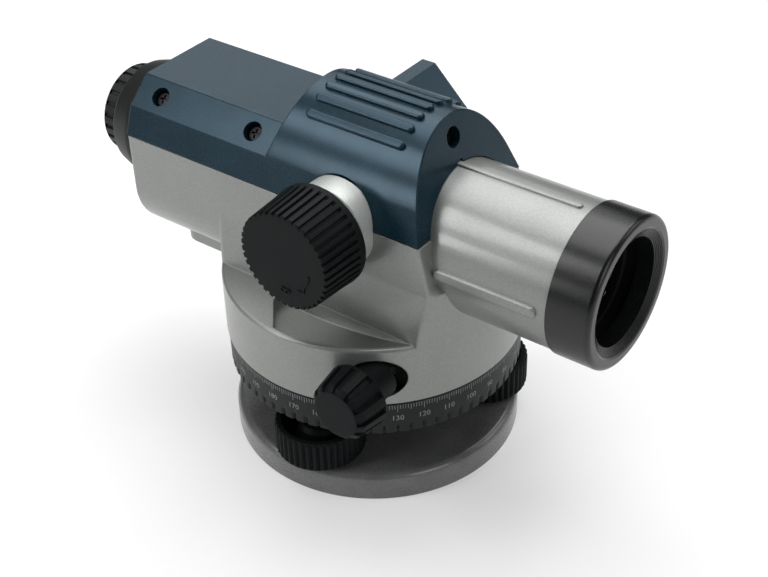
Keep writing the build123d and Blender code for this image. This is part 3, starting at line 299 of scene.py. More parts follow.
# ---------------------------------------------------------------- materials
class Nodes:
    """Short calls for building one material's node tree."""

    def __init__(self, name):
        self.material = bpy.data.materials.new(name)
        self.material.use_nodes = True
        self.tree = self.material.node_tree
        self.shader = self.tree.nodes["Principled BSDF"]
        coords = self.tree.nodes.new("ShaderNodeTexCoord")
        self.place = coords.outputs["Object"]

    def add(self, kind, **inputs):
        """New node; each input is a value, another node's output or the node's own setting."""
        node = self.tree.nodes.new("ShaderNode" + kind)
        for key, value in inputs.items():
            name = key.replace("_", " ")
            if name in node.inputs and not hasattr(value, "is_linked"):
                node.inputs[name].default_value = value
            elif name in node.inputs:
                self.tree.links.new(value, node.inputs[name])
            else:
                setattr(node, key, value)
        return node

    def link(self, output, socket):
        self.tree.links.new(output, self.shader.inputs[socket])

    def noise(self, size, detail=3.0, roughness=0.5):
        """Noise whose features are about this many millimetres across."""
        return self.add("TexNoise", Vector=self.place, Scale=1 / (size * MM), Detail=detail,
                        Roughness=roughness).outputs["Fac"]

    def cells(self, size):
        """Random value for each cell about this many millimetres across."""
        node = self.add("TexVoronoi", Vector=self.place, Scale=1 / (size * MM))
        return self.add("SeparateColor", Color=node.outputs["Color"]).outputs[0]

    def ramp(self, value, stops):
        """Colour from a value, between (position, colour) stops."""
        node = self.add("ValToRGB", Fac=value)
        while len(node.color_ramp.elements) < len(stops):
            node.color_ramp.elements.new(0.5)
        for element, (position, colour) in zip(node.color_ramp.elements, stops):
            element.position = position
            element.color = (*colour, 1.0)
        return node.outputs["Color"]

    def spread(self, value, low, high, from_low=0.3, from_high=0.7):
        """Value mapped from one range to low and high."""
        node = self.add("MapRange", Value=value)
        node.inputs["From Min"].default_value = from_low
        node.inputs["From Max"].default_value = from_high
        node.inputs["To Min"].default_value = low
        node.inputs["To Max"].default_value = high
        return node.outputs["Result"]

    def bump(self, height, depth, under=None):
        """Bump of this depth in millimetres."""
        node = self.add("Bump", Height=height, Distance=depth * MM, Strength=1.0)
        if under is not None:
            self.tree.links.new(under, node.inputs["Normal"])
        return node.outputs["Normal"]

    def rounded_edges(self, radius):
        """Normal that softens edges and inside corners by this radius in millimetres."""
        node = self.add("Bevel", Radius=radius * MM)
        node.samples = 6
        return node.outputs["Normal"]


def tint(colour, factor):
    """Colour made lighter or darker by a factor."""
    return tuple(min(1.0, c * factor) for c in colour)


def metallic_paint(name, colour, metallic, roughness, edge=0.0):
    """Silver lacquer: flakes of two sizes, faint orange peel and uneven gloss."""
    n = Nodes(name)
    flakes, drift = n.cells(0.26), n.noise(14.0)
    stops = [(0.0, tint(colour, 0.90)), (0.55, tint(colour, 0.99)), (1.0, tint(colour, 1.14))]
    n.link(n.ramp(flakes, stops), "Base Color")
    n.shader.inputs["Metallic"].default_value = metallic
    n.link(n.spread(drift, roughness - 0.03, roughness + 0.04), "Roughness")
    peel = n.bump(n.noise(1.6, 2.0), 0.005, n.rounded_edges(edge) if edge else None)
    n.link(n.bump(n.cells(0.22), 0.004, peel), "Normal")
    n.shader.inputs["Coat Weight"].default_value = 0.35
    n.shader.inputs["Coat Roughness"].default_value = 0.12
    return n.material


def moulded(name, colour, roughness, grain=0.35, depth=0.02, specular=0.5, coat=0.0, edge=0.0,
            metallic=0.0):
    """Moulded or lacquered surface: fine grain, slow tone drift and uneven gloss."""
    n = Nodes(name)
    drift, fine = n.noise(9.0), n.noise(grain, 3.0, 0.6)
    n.link(n.ramp(drift, [(0.3, tint(colour, 0.92)), (0.7, tint(colour, 1.15))]), "Base Color")
    n.link(n.spread(fine, roughness - 0.06, roughness + 0.07), "Roughness")
    n.shader.inputs["Specular IOR Level"].default_value = specular
    n.shader.inputs["Metallic"].default_value = metallic
    n.shader.inputs["Coat Weight"].default_value = coat
    n.shader.inputs["Coat Roughness"].default_value = 0.06
    n.link(n.bump(fine, depth, n.rounded_edges(edge) if edge else None), "Normal")
    return n.material


def turned_metal(name, colour, roughness, metallic=1.0):
    """Machined metal: fine turning marks, smudges and uneven gloss."""
    n = Nodes(name)
    smudge = n.noise(3.5, 4.0)
    n.link(n.ramp(smudge, [(0.3, tint(colour, 0.86)), (0.7, tint(colour, 1.06))]), "Base Color")
    n.shader.inputs["Metallic"].default_value = metallic
    n.link(n.spread(smudge, roughness - 0.05, roughness + 0.08), "Roughness")
    n.link(n.bump(n.noise(0.25, 2.0), 0.004), "Normal")
    return n.material


def clear(name, colour, ior=1.5, coating=None):
    """Polished glass with a very faint unevenness, and a coating's tint where it has one."""
    n = Nodes(name)
    faint = n.noise(6.0, 2.0)
    n.link(n.ramp(faint, [(0.3, tint(colour, 0.985)), (0.7, colour)]), "Base Color")
    n.link(n.spread(faint, 0.0, 0.02), "Roughness")
    n.shader.inputs["Transmission Weight"].default_value = 1.0
    n.shader.inputs["IOR"].default_value = ior
    if coating:
        n.shader.inputs["Specular Tint"].default_value = (*coating, 1.0)
    return n.material


SILVER = metallic_paint("silver_lacquer", (0.246, 0.256, 0.246), 0.46, 0.39, edge=0.6)
BOSS = metallic_paint("bright_silver", (0.50, 0.52, 0.50), 0.40, 0.40, edge=0.2)
BASE_GREY = moulded("grey_enamel", (0.118, 0.121, 0.119), 0.28, grain=0.4, depth=0.0015, coat=0.3, edge=0.5)
COVER_BLUE = moulded("slate_blue", (0.008, 0.029, 0.045), 0.28,
                     grain=0.28, depth=0.005, specular=0.38, edge=0.35, metallic=0.42)
BLACK_KNOB = moulded("knob_black", (0.0062, 0.0075, 0.0080), 0.50, grain=0.30, depth=0.015, specular=0.09)
BLACK_SATIN = moulded("satin_black", (0.0055, 0.0062, 0.0065), 0.27, grain=0.20, depth=0.004, specular=0.42)
BLACK_EYEPIECE = moulded("eyepiece_black", (0.0125, 0.0145, 0.0140), 0.44,
                         grain=0.35, depth=0.010, specular=0.2)
BLACK_CIRCLE = moulded("circle_black", (0.0095, 0.0112, 0.0115), 0.45,
                       grain=0.25, depth=0.008, specular=0.2)
BLACK_INSIDE = moulded("dull_black", (0.004, 0.004, 0.004), 0.70, grain=0.25, depth=0.03, specular=0.15)
FIGURES = moulded("figure_grey", (0.20, 0.215, 0.22), 0.55, grain=0.12, depth=0.004)
STEEL = turned_metal("turned_steel", (0.55, 0.55, 0.56), 0.30)
DARK_STEEL = turned_metal("blackened_steel", (0.020, 0.020, 0.022), 0.45, metallic=0.6)
BRASS = turned_metal("turned_brass", (0.55, 0.40, 0.18), 0.30)
RUBBER = moulded("black_rubber", (0.010, 0.010, 0.010), 0.65, grain=0.2, depth=0.01, specular=0.2)
LENS = clear("coated_lens", (0.94, 0.97, 0.97), coating=(0.55, 0.75, 0.62))
VIAL = clear("vial_glass", (0.97, 0.99, 0.99))
FLUID = clear("vial_fluid", (0.72, 0.90, 0.40), 1.36)
MIRROR = turned_metal("silvered_mirror", (0.90, 0.91, 0.92), 0.06)

SLOT_MATERIALS = {
    "base_enamel": BASE_GREY, "housing_paint": SILVER, "boss_anodised": BOSS, "cover_paint": COVER_BLUE,
    "black_anodised": BLACK_SATIN, "knob_black": BLACK_KNOB, "circle_enamel": BLACK_CIRCLE,
    "level_case_black": BLACK_KNOB, "inner_black": BLACK_INSIDE, "gasket_rubber": RUBBER,
    "steel_turned": STEEL, "spring_steel": DARK_STEEL, "screw_black": DARK_STEEL, "brass_turned": BRASS,
    "lens_glass": LENS, "vial_glass": VIAL, "vial_fluid": FLUID, "mirror_face": MIRROR,
}
for part in frame["record"]["subparts"]:
    node = frame["nodes"][part["node"]]
    node.data.materials.clear()
    node.data.materials.append(SLOT_MATERIALS[part["material_slot"]])

# ---------------------------------------------------------------- base plate
BASE_R, BASE_T, BASE_BORE_R = 55.8, 11.4, 7.94
RECESS_R0, RECESS_R1, RECESS_T = 19.0, 50.0, 3.4     # hollow under the plate
SOCKET_R = 5.1                                       # holes over the ball feet
SCREW_PLACES = [(*polar(SCREW_RADIUS, a), 0) for a in SCREW_ANGLES]

base = lathe(
    "base_disc",
    rounded(
        [(BASE_BORE_R, 0), (RECESS_R0, 0), (RECESS_R0, RECESS_T), (RECESS_R1, RECESS_T), (RECESS_R1, 0),
         (BASE_R, 0), (BASE_R, BASE_T), (BASE_BORE_R, BASE_T)],
        [0.4, 0.3, 0.8, 0.8, 0.3, 0.6, 3.0, 0.6],
    ),
    "Z", (0, 0, 0), 256,
)
sockets = [rod(SOCKET_R, -1, BASE_T + 1.6, "Z", place, 48) for place in SCREW_PLACES]
base = combine(base, sockets, "DIFFERENCE")
piece(base, "base", BASE_GREY, "base_enamel", "base_plate")


# ---------------------------------------------------------------- foot screws
def fluted(count, depth, low, high, fade):
    """Radius with this many rounded flutes, fading out beyond low and high."""
    def radius_at(radius, angle, along):
        reach = min(1.0, max(0.0, (along - low) / fade + 1), max(0.0, (high - along) / fade + 1))
        return radius - depth * reach * (0.5 + 0.5 * cos(count * angle)) ** 1.4
    return radius_at


KNOB_R, KNOB_Z0, KNOB_Z1 = 17.1, 12.3, 25.1
STUD_R, STUD_ROOT_R, STUD_TOP, THREAD_PITCH = 4.0, 3.5, 39.5, 1.0
BALL_R, BALL_Z = 4.8, 8.4
knob_ribs = beyond(15.6, fluted(40, 0.95, KNOB_Z0 + 1.0, KNOB_Z1 - 0.7, 0.8))
for number, place in enumerate(SCREW_PLACES, start=1):
    knob = lathe(
        f"ribbed_foot_knob_{number}",
        dense(
            rounded(
                [(STUD_R + 0.02, KNOB_Z0), (KNOB_R, KNOB_Z0), (KNOB_R, KNOB_Z1), (14.2, KNOB_Z1),
                 (13.6, KNOB_Z1 - 6.5), (8.6, KNOB_Z1 - 6.5), (8.2, KNOB_Z1 - 3.2), (6.6, KNOB_Z1 - 1.5),
                 (STUD_R + 0.02, KNOB_Z1 - 1.5)],
                [0.2, 1.0, 1.1, 0.5, 0.8, 0.6, 0.4, 0.4, 0.2],
            ),
            1.2, closed=True,
        ),
        "Z", place, 400, knob_ribs,
    )
    piece(knob, f"foot_{number}", BLACK_KNOB, "knob_black", f"foot_knob_{number}")

    ball = [(BALL_R * cos(a), BALL_Z + BALL_R * sin(a)) for a in (radians(d) for d in range(-80, 56, 8))]
    thread = []
    for k in range(15):
        z = KNOB_Z1 - 1.2 + k * THREAD_PITCH
        if z < STUD_TOP - 1.1:
            thread += [(STUD_R, z), (STUD_ROOT_R, z + THREAD_PITCH / 2)]
    stud = lathe(
        f"threaded_stud_{number}",
        [(0, BALL_Z - BALL_R)] + ball + [(3.0, KNOB_Z0), (STUD_R, KNOB_Z0)] + thread
        + [(STUD_R, STUD_TOP - 0.7), (3.3, STUD_TOP), (0, STUD_TOP)],
        "Z", place, 64, ring=False,
    )
    piece(stud, f"foot_{number}", STEEL, "steel_turned", f"foot_screw_{number}")

# ---------------------------------------------------------------- graduated circle
CIRCLE_R, CIRCLE_Z0, CIRCLE_Z1 = 56.2, 33.0, 46.4
CIRCLE_RIM_R, CIRCLE_HOLE_R = 52.8, 19.05
WEB_Z0, WEB_Z1 = 41.5, 44.0      # disc that carries the rim
NOTCH_TOP, NOTCHES = 37.0, 72


def circle_edge(radius, angle, along):
    """Grip notches round the lower edge."""
    if radius < 54.5 or along > NOTCH_TOP:
        return radius
    notch = max(0.0, cos(NOTCHES * angle)) ** 3
    return radius - 0.9 * notch * min(1.0, NOTCH_TOP - along)


circle = lathe(
    "degree_circle",
    dense(
        rounded(
            [(CIRCLE_HOLE_R, WEB_Z0), (CIRCLE_RIM_R, WEB_Z0), (CIRCLE_RIM_R, CIRCLE_Z0),
             (CIRCLE_R, CIRCLE_Z0), (CIRCLE_R, CIRCLE_Z1), (CIRCLE_RIM_R, CIRCLE_Z1),
             (CIRCLE_RIM_R, WEB_Z1), (CIRCLE_HOLE_R, WEB_Z1)],
            [0.2, 0.3, 0.4, 0.5, 0.35, 0.3, 0.3, 0.2],
        ),
        1.1, closed=True,
    ),
    "Z", (0, 0, 0), 720, circle_edge,
)
piece(circle, "circle", BLACK_CIRCLE, "circle_enamel", "graduated_circle")


def wrapped(verts, angle, height):
    """Flat points (x across, y up, z out) laid on the circle's rim at this angle."""
    out = []
    for x, y, z in verts:
        a = radians(angle) + x / CIRCLE_R
        r = CIRCLE_R + z
        out.append((r * cos(a), r * sin(a), height + y))
    return out


DIAL_ZERO = 85.0                 # angle of the dial's 0, and its figures rise clockwise
TICK_HALF, TICK_GAP = 0.10, 0.6  # half width, and distance from the rim's top edge
FIGURE_SIZE, FIGURE_Z = 3.1, 38.9
BOX_FACES = ((0, 3, 2, 1), (4, 5, 6, 7), (0, 1, 5, 4), (1, 2, 6, 5), (2, 3, 7, 6), (3, 0, 4, 7))
verts, faces = [], []
for degree in range(360):
    length = 3.1 if degree % 10 == 0 else 2.5 if degree % 5 == 0 else 1.8
    corners = ((-TICK_HALF, 0), (TICK_HALF, 0), (TICK_HALF, length), (-TICK_HALF, length))
    box = [(x, y, z) for z in (-0.1, 0.03) for x, y in corners]
    start = len(verts)
    verts += wrapped(box, DIAL_ZERO - degree, CIRCLE_Z1 - TICK_GAP - length)
    faces += [tuple(start + i for i in f) for f in BOX_FACES]
marks = [add_mesh("ticks", verts, faces)]


def lettering(text, size, depth):
    """Points and polygons of raised figures that stand centred on the origin."""
    curve = bpy.data.curves.new("figure", "FONT")
    curve.body, curve.size, curve.extrude, curve.resolution_u = text, size, depth, 3
    curve.align_x = "CENTER"
    source = bpy.data.objects.new("figure", curve)
    bpy.context.scene.collection.objects.link(source)
    flat = bpy.data.meshes.new_from_object(source.evaluated_get(bpy.context.evaluated_depsgraph_get()))
    bpy.data.objects.remove(source, do_unlink=True)
    return [v.co.copy() for v in flat.vertices], [tuple(p.vertices) for p in flat.polygons]


for degree in range(0, 360, 10):
    points, polygons = lettering(str(degree), FIGURE_SIZE, 0.05)
    marks.append(add_mesh("figure", wrapped(points, DIAL_ZERO - degree, FIGURE_Z), polygons))
piece(merge("circle_figures", marks), "circle", FIGURES, "circle_enamel")

# ---------------------------------------------------------------- housing
DRUM_R, DRUM_Z0, SHELF_Z, SHELF_EDGE = 56.8, 46.8, 71.3, 1.3
BODY_W, BODY_REAR, BODY_BOTTOM, TOP_Z = 31.4, -91.0, 64.6, 109.2
PIER_FOOT_W, PIER_FOOT_TOP = 35.1, 90.0
SHOULDER_Z0, SHOULDER_Z1 = 85.0, 94.0
ARCH_X0, ARCH_X1, SPLIT_Z = -22.2, 43.6, 109.7
FRONT_SLOPE, ARCH_LEAN = 0.224, 0.3
FLOOR_Z, ROOM_W, ROOM_X0, ROOM_X1 = 74.0, 28.4, -87.5, 40.0
TUBE_R, TUBE_BORE_R, TUBE_X0, TUBE_X1 = 26.6, 23.6, 24.0, 90.0
FOCUS_X, FOCUS_Z, FOCUS_BOSS_R = 8.6, 106.9, 16.3
DRIVE_X, DRIVE_Z, DRIVE_HOLE_R = 34.2, 58.5, 8.6
FOCUS_AT, DRIVE_AT = (FOCUS_X, 0, FOCUS_Z), (DRIVE_X, 0, DRIVE_Z)
EYE_HOLE_R = 12.5                # round the eyepiece's tube


def pier_front(z):
    """X of the pier's front: the drum's round front below, a shoulder, and a sloping face above."""
    top = ARCH_X1 + FRONT_SLOPE * (SPLIT_Z - max(z, SHOULDER_Z1))
    rise = min(1.0, max(0.0, (SHOULDER_Z1 - z) / (SHOULDER_Z1 - SHOULDER_Z0)))
    return top + (DRUM_R + 6.0 - top) * rise ** 1.3


def pier_half_width(z):
    """Half width of the pier, which draws in from its foot to the body."""
    share = (PIER_FOOT_TOP - z) / (PIER_FOOT_TOP - SHELF_Z + 1.0)
    return BODY_W + (PIER_FOOT_W - BODY_W) * max(0.0, share)


def pier_radius(angle, z):
    """Radius of the pier at this height: round front and back between flat sides, its corners eased."""
    limits = [DRUM_R, pier_half_width(z) / max(1e-3, abs(sin(angle)))]
    if cos(angle) > 1e-3:
        limits.append(pier_front(z) / cos(angle))
    nearest = min(limits)
    return nearest * sum((nearest / r) ** 90 for r in limits) ** (-1 / 90)


ANGLES = []                      # closer together round the pier's four corners
for quarter, way in ((0, 1), (pi, -1), (pi, 1), (2 * pi, -1)):
    degrees = [k * 1.5 for k in range(17)] + [25.5 + k * 0.5 for k in range(40)]
    degrees += [45.5 + k * 2.5 for k in range(18)]
    fan = [radians(d) for d in degrees]
    fan = [a for a in fan if a < pi / 2 - 0.01] + [pi / 2]
    arc = [quarter + way * a for a in fan]
    ANGLES += (arc if way > 0 else arc[::-1])[:-1]
rings = [(DRUM_Z0, DRUM_R - 0.5, False), (DRUM_Z0 + 0.5, DRUM_R, False)]
rings += [(DRUM_Z0 + (SHELF_Z - DRUM_Z0) * k / 6, DRUM_R, False) for k in range(1, 6)]
for k in range(6):
    a = pi / 2 * k / 5
    rings.append((SHELF_Z - SHELF_EDGE * (1 - sin(a)), DRUM_R - SHELF_EDGE * (1 - cos(a)), True))
rings += [(z, 0.0, True) for z in [SHELF_Z + 0.01] + [73.0 + k * 1.5 for k in range(24)] + [TOP_Z]]
loops = []
for z, drum_r, with_pier in rings:
    radii = [max(drum_r, pier_radius(a, z)) if with_pier else drum_r for a in ANGLES]
    loops.append([(r * cos(a), r * sin(a), z) for r, a in zip(radii, ANGLES)])
drum = loft("housing", loops)

TROUGH_ROUND = 24.7
trough = prism(
    "trough",
    rounded([(-BODY_W, BODY_BOTTOM), (BODY_W, BODY_BOTTOM), (BODY_W, TOP_Z), (-BODY_W, TOP_Z)],
            [TROUGH_ROUND, TROUGH_ROUND, 0, 0], steps=20),
    lengthwise, BODY_REAR, ARCH_X1 - 0.8, low_round=1.4,
)
keel = prism(
    "keel",
    rounded([(-80.0, -19.0), (-44.0, -19.0), (-44.0, 19.0), (-80.0, 19.0)], 6.0, steps=8),
    upright, 60.0, 72.0, low_round=1.2,
)
tube = rod(TUBE_R, TUBE_X0, TUBE_X1, segments=192)

RIDGE_END = 86.7                 # just behind the objective ring


def tube_ridge(angle, width, height, x0):
    """Round-ended ridge along the tube, at this angle from its top, its upper edges rounded."""
    ca, sa = cos(radians(angle)), sin(radians(angle))

    def to_3d(u, v, h):
        return u, v * ca - h * sa, AXIS_Z + h * ca + v * sa

    outline = slot_outline(x0, RIDGE_END, width)
    edge = min(0.7 * height, 0.35 * width)
    return prism("ridge", outline, to_3d, TUBE_R - 1.5, TUBE_R + height, high_round=edge)


ridges = [tube_ridge(0, 2.6, 0.85, 34.0), tube_ridge(90, 4.2, 1.1, 46.5), tube_ridge(-90, 4.2, 1.1, 46.5)]
housing = combine(drum, [trough, keel, tube] + ridges, "UNION")

POCKET_ROUND, RIM_WALL = 6.0, 2.2
DIP_R, DIP_Z = 173.0, 66.0       # the pocket's floor sags to this height on this radius
PIER_GAP = 0.04                  # the pocket stops this far outside the pier
pocket = prism(
    "pocket",
    rounded(
        [(-13.9, -30.0), (-13.9, -41.5), (-2.5, -55.0), (-2.5, -70.0), (60.0, -70.0), (60.0, -30.0)],
        [0, POCKET_ROUND, POCKET_ROUND, 0, 0, 0], steps=8,
    ),
    upright, 55.0, SHELF_Z + 4.0,
)
within_rim = rod(DRUM_R - RIM_WALL, 50.0, 90.0, "Z", (0, 0, 0), 256)
above_dip = rod(DIP_R, -75.0, -20.0, "Y", (0, 0, DIP_Z + DIP_R), 720)
beside_pier = []
for z in (60.0, 75.0):
    side = -pier_half_width(z) - PIER_GAP
    beside_pier.append([(-60, side, z), (60, side, z), (60, -80, z), (-60, -80, z)])
pocket = combine(pocket, [within_rim, above_dip, loft("beside_pier", beside_pier)], "INTERSECT")

room = prism(
    "room",
    rounded([(-ROOM_W, FLOOR_Z), (ROOM_W, FLOOR_Z), (ROOM_W, TOP_Z + 5), (-ROOM_W, TOP_Z + 5)],
            [14.0, 14.0, 0, 0], steps=12),
    lengthwise, ROOM_X0, ROOM_X1,
)
room = combine(room, [rod(TUBE_R, TUBE_X0, TUBE_X1 + 9)], "DIFFERENCE")

housing = combine(housing, [
    pocket, room,
    rod(TUBE_BORE_R, 20.0, 95.0, segments=128),
    rod(EYE_HOLE_R, -95.0, -85.0),
    rod(53.0, 40.0, 63.0, "Z", (0, 0, 0), 160),      # room for the drive in the drum
    rod(34.0, 60.0, 66.0, "Z", (0, 0, 0)),
    rod(9.02, 60.0, 76.0, "Z", (0, 0, 0)),           # the spindle's seat
    rod(FOCUS_BOSS_R + 0.05, -40.0, -26.4, "Y", FOCUS_AT),
    rod(DRIVE_HOLE_R, -60.0, -36.0, "Y", DRIVE_AT),
    rod(DRIVE_HOLE_R, 36.0, 60.0, "Y", DRIVE_AT),
], "DIFFERENCE")
housing.name = "cast_housing"
piece(housing, "housing", SILVER, "housing_paint", "main_housing")

# ---------------------------------------------------------------- cover
ROOF_W, ROOF_Z, EAVE_W, EAVE_Z = 17.5, 129.4, 27.5, 120.4
ARCH_A, ARCH_B, ARCH_CZ = 31.37, 42.8, 99.8
WALL = 2.6
HOOD_X0, HOOD_X1, HOOD_Y0, HOOD_Y1, HOOD_Z0 = -11.8, -5.7, 20.0, 49.4, 108.0
EAVE_N = (0.669, 0.743)          # outward direction of the left eave, in Y and Z


def cover_shape(depth, edge):
    """The cover's straight part and arch, drawn in by depth, with its ends rounded by edge."""
    w, e, r = BODY_W - depth, EAVE_W - 0.85 * depth, ROOF_W - 0.4 * depth
    ez, rz = EAVE_Z - 0.45 * depth, ROOF_Z - depth
    straight = rounded([(-w, SPLIT_Z), (w, SPLIT_Z), (e, ez), (r, rz), (-r, rz), (-e, ez)],
                       [0, 0, 1.2, 1.2, 1.2, 1.2], steps=4)
    long_part = prism("cover", straight, lengthwise, BODY_REAR + depth, ARCH_X0 + 4.0, low_round=edge)
    a, b = ARCH_A - depth, ARCH_B - depth
    start = atan2((ez - ARCH_CZ) / b, e / a)
    turns = [start + (pi - 2 * start) * k / 64 for k in range(65)]
    crown = [(a * cos(t), ARCH_CZ + b * sin(t)) for t in turns]
    arch = prism(
        "arch", [(-w, SPLIT_Z), (w, SPLIT_Z)] + crown, lengthwise,
        lambda u, v: ARCH_X0 + depth + ARCH_LEAN * (v - ROOF_Z),
        lambda u, v: ARCH_X1 - depth - ARCH_LEAN * (v - SPLIT_Z),
        low_round=edge, high_round=edge,
    )
    return long_part, arch


GRIP_X, GRIP_LENGTH, GRIP_WIDTH, GRIP_RISE, GRIP_PITCH = 7.25, 41.5, 3.2, 1.6, 5.5


def grip(y):
    """Round-topped grip along the arch, standing square to its surface."""
    rise = ARCH_B * sqrt(1 - (y / ARCH_A) ** 2)
    outline = slot_outline(-GRIP_LENGTH / 2, GRIP_LENGTH / 2, GRIP_WIDTH)
    ridge = prism("grip", outline, upright, -GRIP_RISE, GRIP_RISE, high_round=0.9, steps=5)
    return seated(ridge, (GRIP_X, y, ARCH_CZ + rise), (0, y / ARCH_A ** 2, rise / ARCH_B ** 2))


# the hood's front slopes at 45 degrees, open below and to the rear
hood_run = HOOD_X1 + ROOF_Z - HOOD_Z0
hood_outer = [(HOOD_X0, ROOF_Z), (HOOD_X0, HOOD_Z0), (hood_run, HOOD_Z0), (HOOD_X1, ROOF_Z)]
hood_inner = [(HOOD_X0 - 1.0, ROOF_Z - 2.0), (HOOD_X0 - 1.0, HOOD_Z0 - 1.0),
              (hood_run - 1.83, HOOD_Z0 - 1.0), (HOOD_X1 - 0.83, ROOF_Z - 2.0)]
hood = prism("hood", rounded(hood_outer, [0.6, 0.6, 0.6, 0.8], steps=3), crosswise,
             HOOD_Y0, HOOD_Y1, high_round=0.5)
hood_room = prism("hood_room", hood_inner, crosswise, HOOD_Y0 - 1.0, HOOD_Y1 - 2.0)
hood = combine(hood, [hood_room], "DIFFERENCE")
# each cover screw's seat: its place and its outward direction
SEATS = [((x, side * 22.5, 124.9), (0, side * EAVE_N[0], EAVE_N[1]))
         for x in (-79.5, -34.7) for side in (-1, 1)]
SEATS.append(((35.15, 0, 134.5), (0.958, 0, 0.287)))


def on_seat(obj, seat):
    """Object built at the origin, moved to a cover screw's seat."""
    place, outward = seat
    return seated(obj, place, outward, (0, 1, 0) if abs(outward[0]) > 0.5 else (1, 0, 0))


def pegs(radius, low, high, segments=48):
    """Round pegs standing on all the seats."""
    return [on_seat(rod(radius, low, high, "Z", (0, 0, 0), segments), seat) for seat in SEATS]


long_part, arch = cover_shape(0.0, 0.4)
cover = combine(long_part, [arch, hood] + [grip(row * GRIP_PITCH) for row in range(-3, 4)], "UNION")
inner, inner_arch = cover_shape(WALL, 0.0)
cover = combine(cover, [inner, inner_arch], "DIFFERENCE")
cover = combine(cover, pegs(5.3, -7.4, -1.2), "UNION")
cover = combine(cover, pegs(3.7, -4.4, 2.0) + pegs(1.6, -9.0, 1.0, 24) + [
    rod(TUBE_R + 0.35, TUBE_X0, 60.0, segments=192),
    rod(EYE_HOLE_R, -95.0, -86.0),
    rod(FOCUS_BOSS_R + 0.15, -40.0, -25.4, "Y", FOCUS_AT),
    block("notch", (30.0, -1.75, AXIS_Z + TUBE_R - 1), (50.0, 1.75, AXIS_Z + TUBE_R + 1.5)),
], "DIFFERENCE")
cover.name = "domed_cover"
piece(cover, "housing", COVER_BLUE, "cover_paint", "top_cover")

SLOT_RUN, SLOT_HALF, SLOT_Z0, SLOT_Z1 = 1.8, 0.4, -3.4, -1.0
screw_profile = rounded([(0, -9.5), (1.5, -9.5), (1.5, -4.4), (2.9, -4.4), (2.9, -2.4), (0, -2.2)],
                        [0, 0.2, 0, 0.2, 0.5, 0], closed=False)
screws = []
for seat in SEATS:
    head = lathe("screw", screw_profile, "Z", (0, 0, 0), 48, ring=False)
    slots = [block("slot", (-x, -y, SLOT_Z0), (x, y, SLOT_Z1))
             for x, y in ((SLOT_RUN, SLOT_HALF), (SLOT_HALF, SLOT_RUN))]
    screws.append(on_seat(combine(head, slots, "DIFFERENCE"), seat))
piece(merge("cross_screws", screws), "housing", DARK_STEEL, "screw_black", "cover_screws")

# ---------------------------------------------------------------- focusing and drive knobs
def grooves(count, depth, low, high, duty, soft=0.25):
    """Radius with flat-bottomed grooves between low and high. duty is the grooves' share of the pitch."""
    def radius_at(radius, angle, along):
        if not low <= along <= high:
            return radius
        wave = (cos(count * angle) - cos(pi * duty)) / soft + 0.5
        reach = min(1.0, max(0.0, wave))
        return radius - depth * reach * reach * (3 - 2 * reach)
    return radius_at


FOCUS_FACE, FOCUS_BACK, FOCUS_SHAFT_R = -59.4, -39.0, 3.02
knob_profile = [(FOCUS_SHAFT_R, FOCUS_BACK), (FOCUS_SHAFT_R, FOCUS_FACE + 3.0), (0, FOCUS_FACE + 3.0)]
knob_profile += rounded(
    [(0, FOCUS_FACE), (18.4, FOCUS_FACE), (19.0, -46.5), (19.4, -41.4), (19.4, FOCUS_BACK),
     (FOCUS_SHAFT_R, FOCUS_BACK)],
    [0, 0.45, 0, 0, 0.7, 0], closed=False)
knob = lathe(
    "grooved_focus_knob", dense(knob_profile, 1.0), "Y", FOCUS_AT, 640,
    beyond(17.6, grooves(40, 0.95, FOCUS_FACE - 0.05, -41.6, 0.42)), ring=False,
)

MARK_SUNK, MARK_RISE, ARROW_R = 0.3, 0.35, 10.9


def band(points, width):
    """Closed outline round an open line of 2-D points."""
    sides = ([], [])
    for i, point in enumerate(points):
        a, b = Vector(points[max(0, i - 1)]), Vector(points[min(len(points) - 1, i + 1)])
        normal = Vector((a.y - b.y, b.x - a.x)).normalized() * (width / 2)
        sides[0].append(tuple(Vector(point) - normal))
        sides[1].append(tuple(Vector(point) + normal))
    return sides[0] + sides[1][::-1]


def on_knob(u, v, h):
    """Point on the focusing knob's flat face, h above it."""
    return FOCUS_X + u, FOCUS_FACE - h, FOCUS_Z + v


def ring_mark(u, v):
    """Small raised ring on the knob's face."""
    profile = [(0.62, -MARK_SUNK), (1.25, -MARK_SUNK), (1.18, MARK_RISE), (0.68, MARK_RISE)]
    return lathe("mark", [(r, FOCUS_FACE - h) for r, h in profile], "Y", (FOCUS_X + u, 0, FOCUS_Z + v), 32)


arrow = [polar(ARROW_R, d) for d in range(-42, -7, 4)]
tip = [(5.6, -9.6), (8.4, -9.4), (8.3, -6.6)]
knob_marks = [
    ring_mark(-1.0, -11.5), ring_mark(1.0, -11.7),
    prism("mark", band(arrow, 0.8), on_knob, -MARK_SUNK, MARK_RISE, high_round=0.12, steps=2),
    prism("mark", band(tip, 0.7), on_knob, -MARK_SUNK, MARK_RISE, high_round=0.12, steps=2),
]
knob = combine(knob, knob_marks, "UNION")
knob.name = "grooved_focus_knob"
piece(knob, "focus_control", BLACK_KNOB, "knob_black", "focus_knob", angle=28)

boss = lathe(
    "focus_boss",
    rounded([(3.05, -27.0), (FOCUS_BOSS_R, -27.0), (FOCUS_BOSS_R, -35.9), (15.7, -36.2), (15.7, -36.8),
             (FOCUS_BOSS_R, -37.1), (FOCUS_BOSS_R, -38.7), (3.05, -38.7)],
            [0, 0.2, 0.15, 0.1, 0.1, 0.15, 0.4, 0]),
    "Y", FOCUS_AT, 160,
)
piece(boss, "housing", BOSS, "boss_anodised", "focus_bearing")

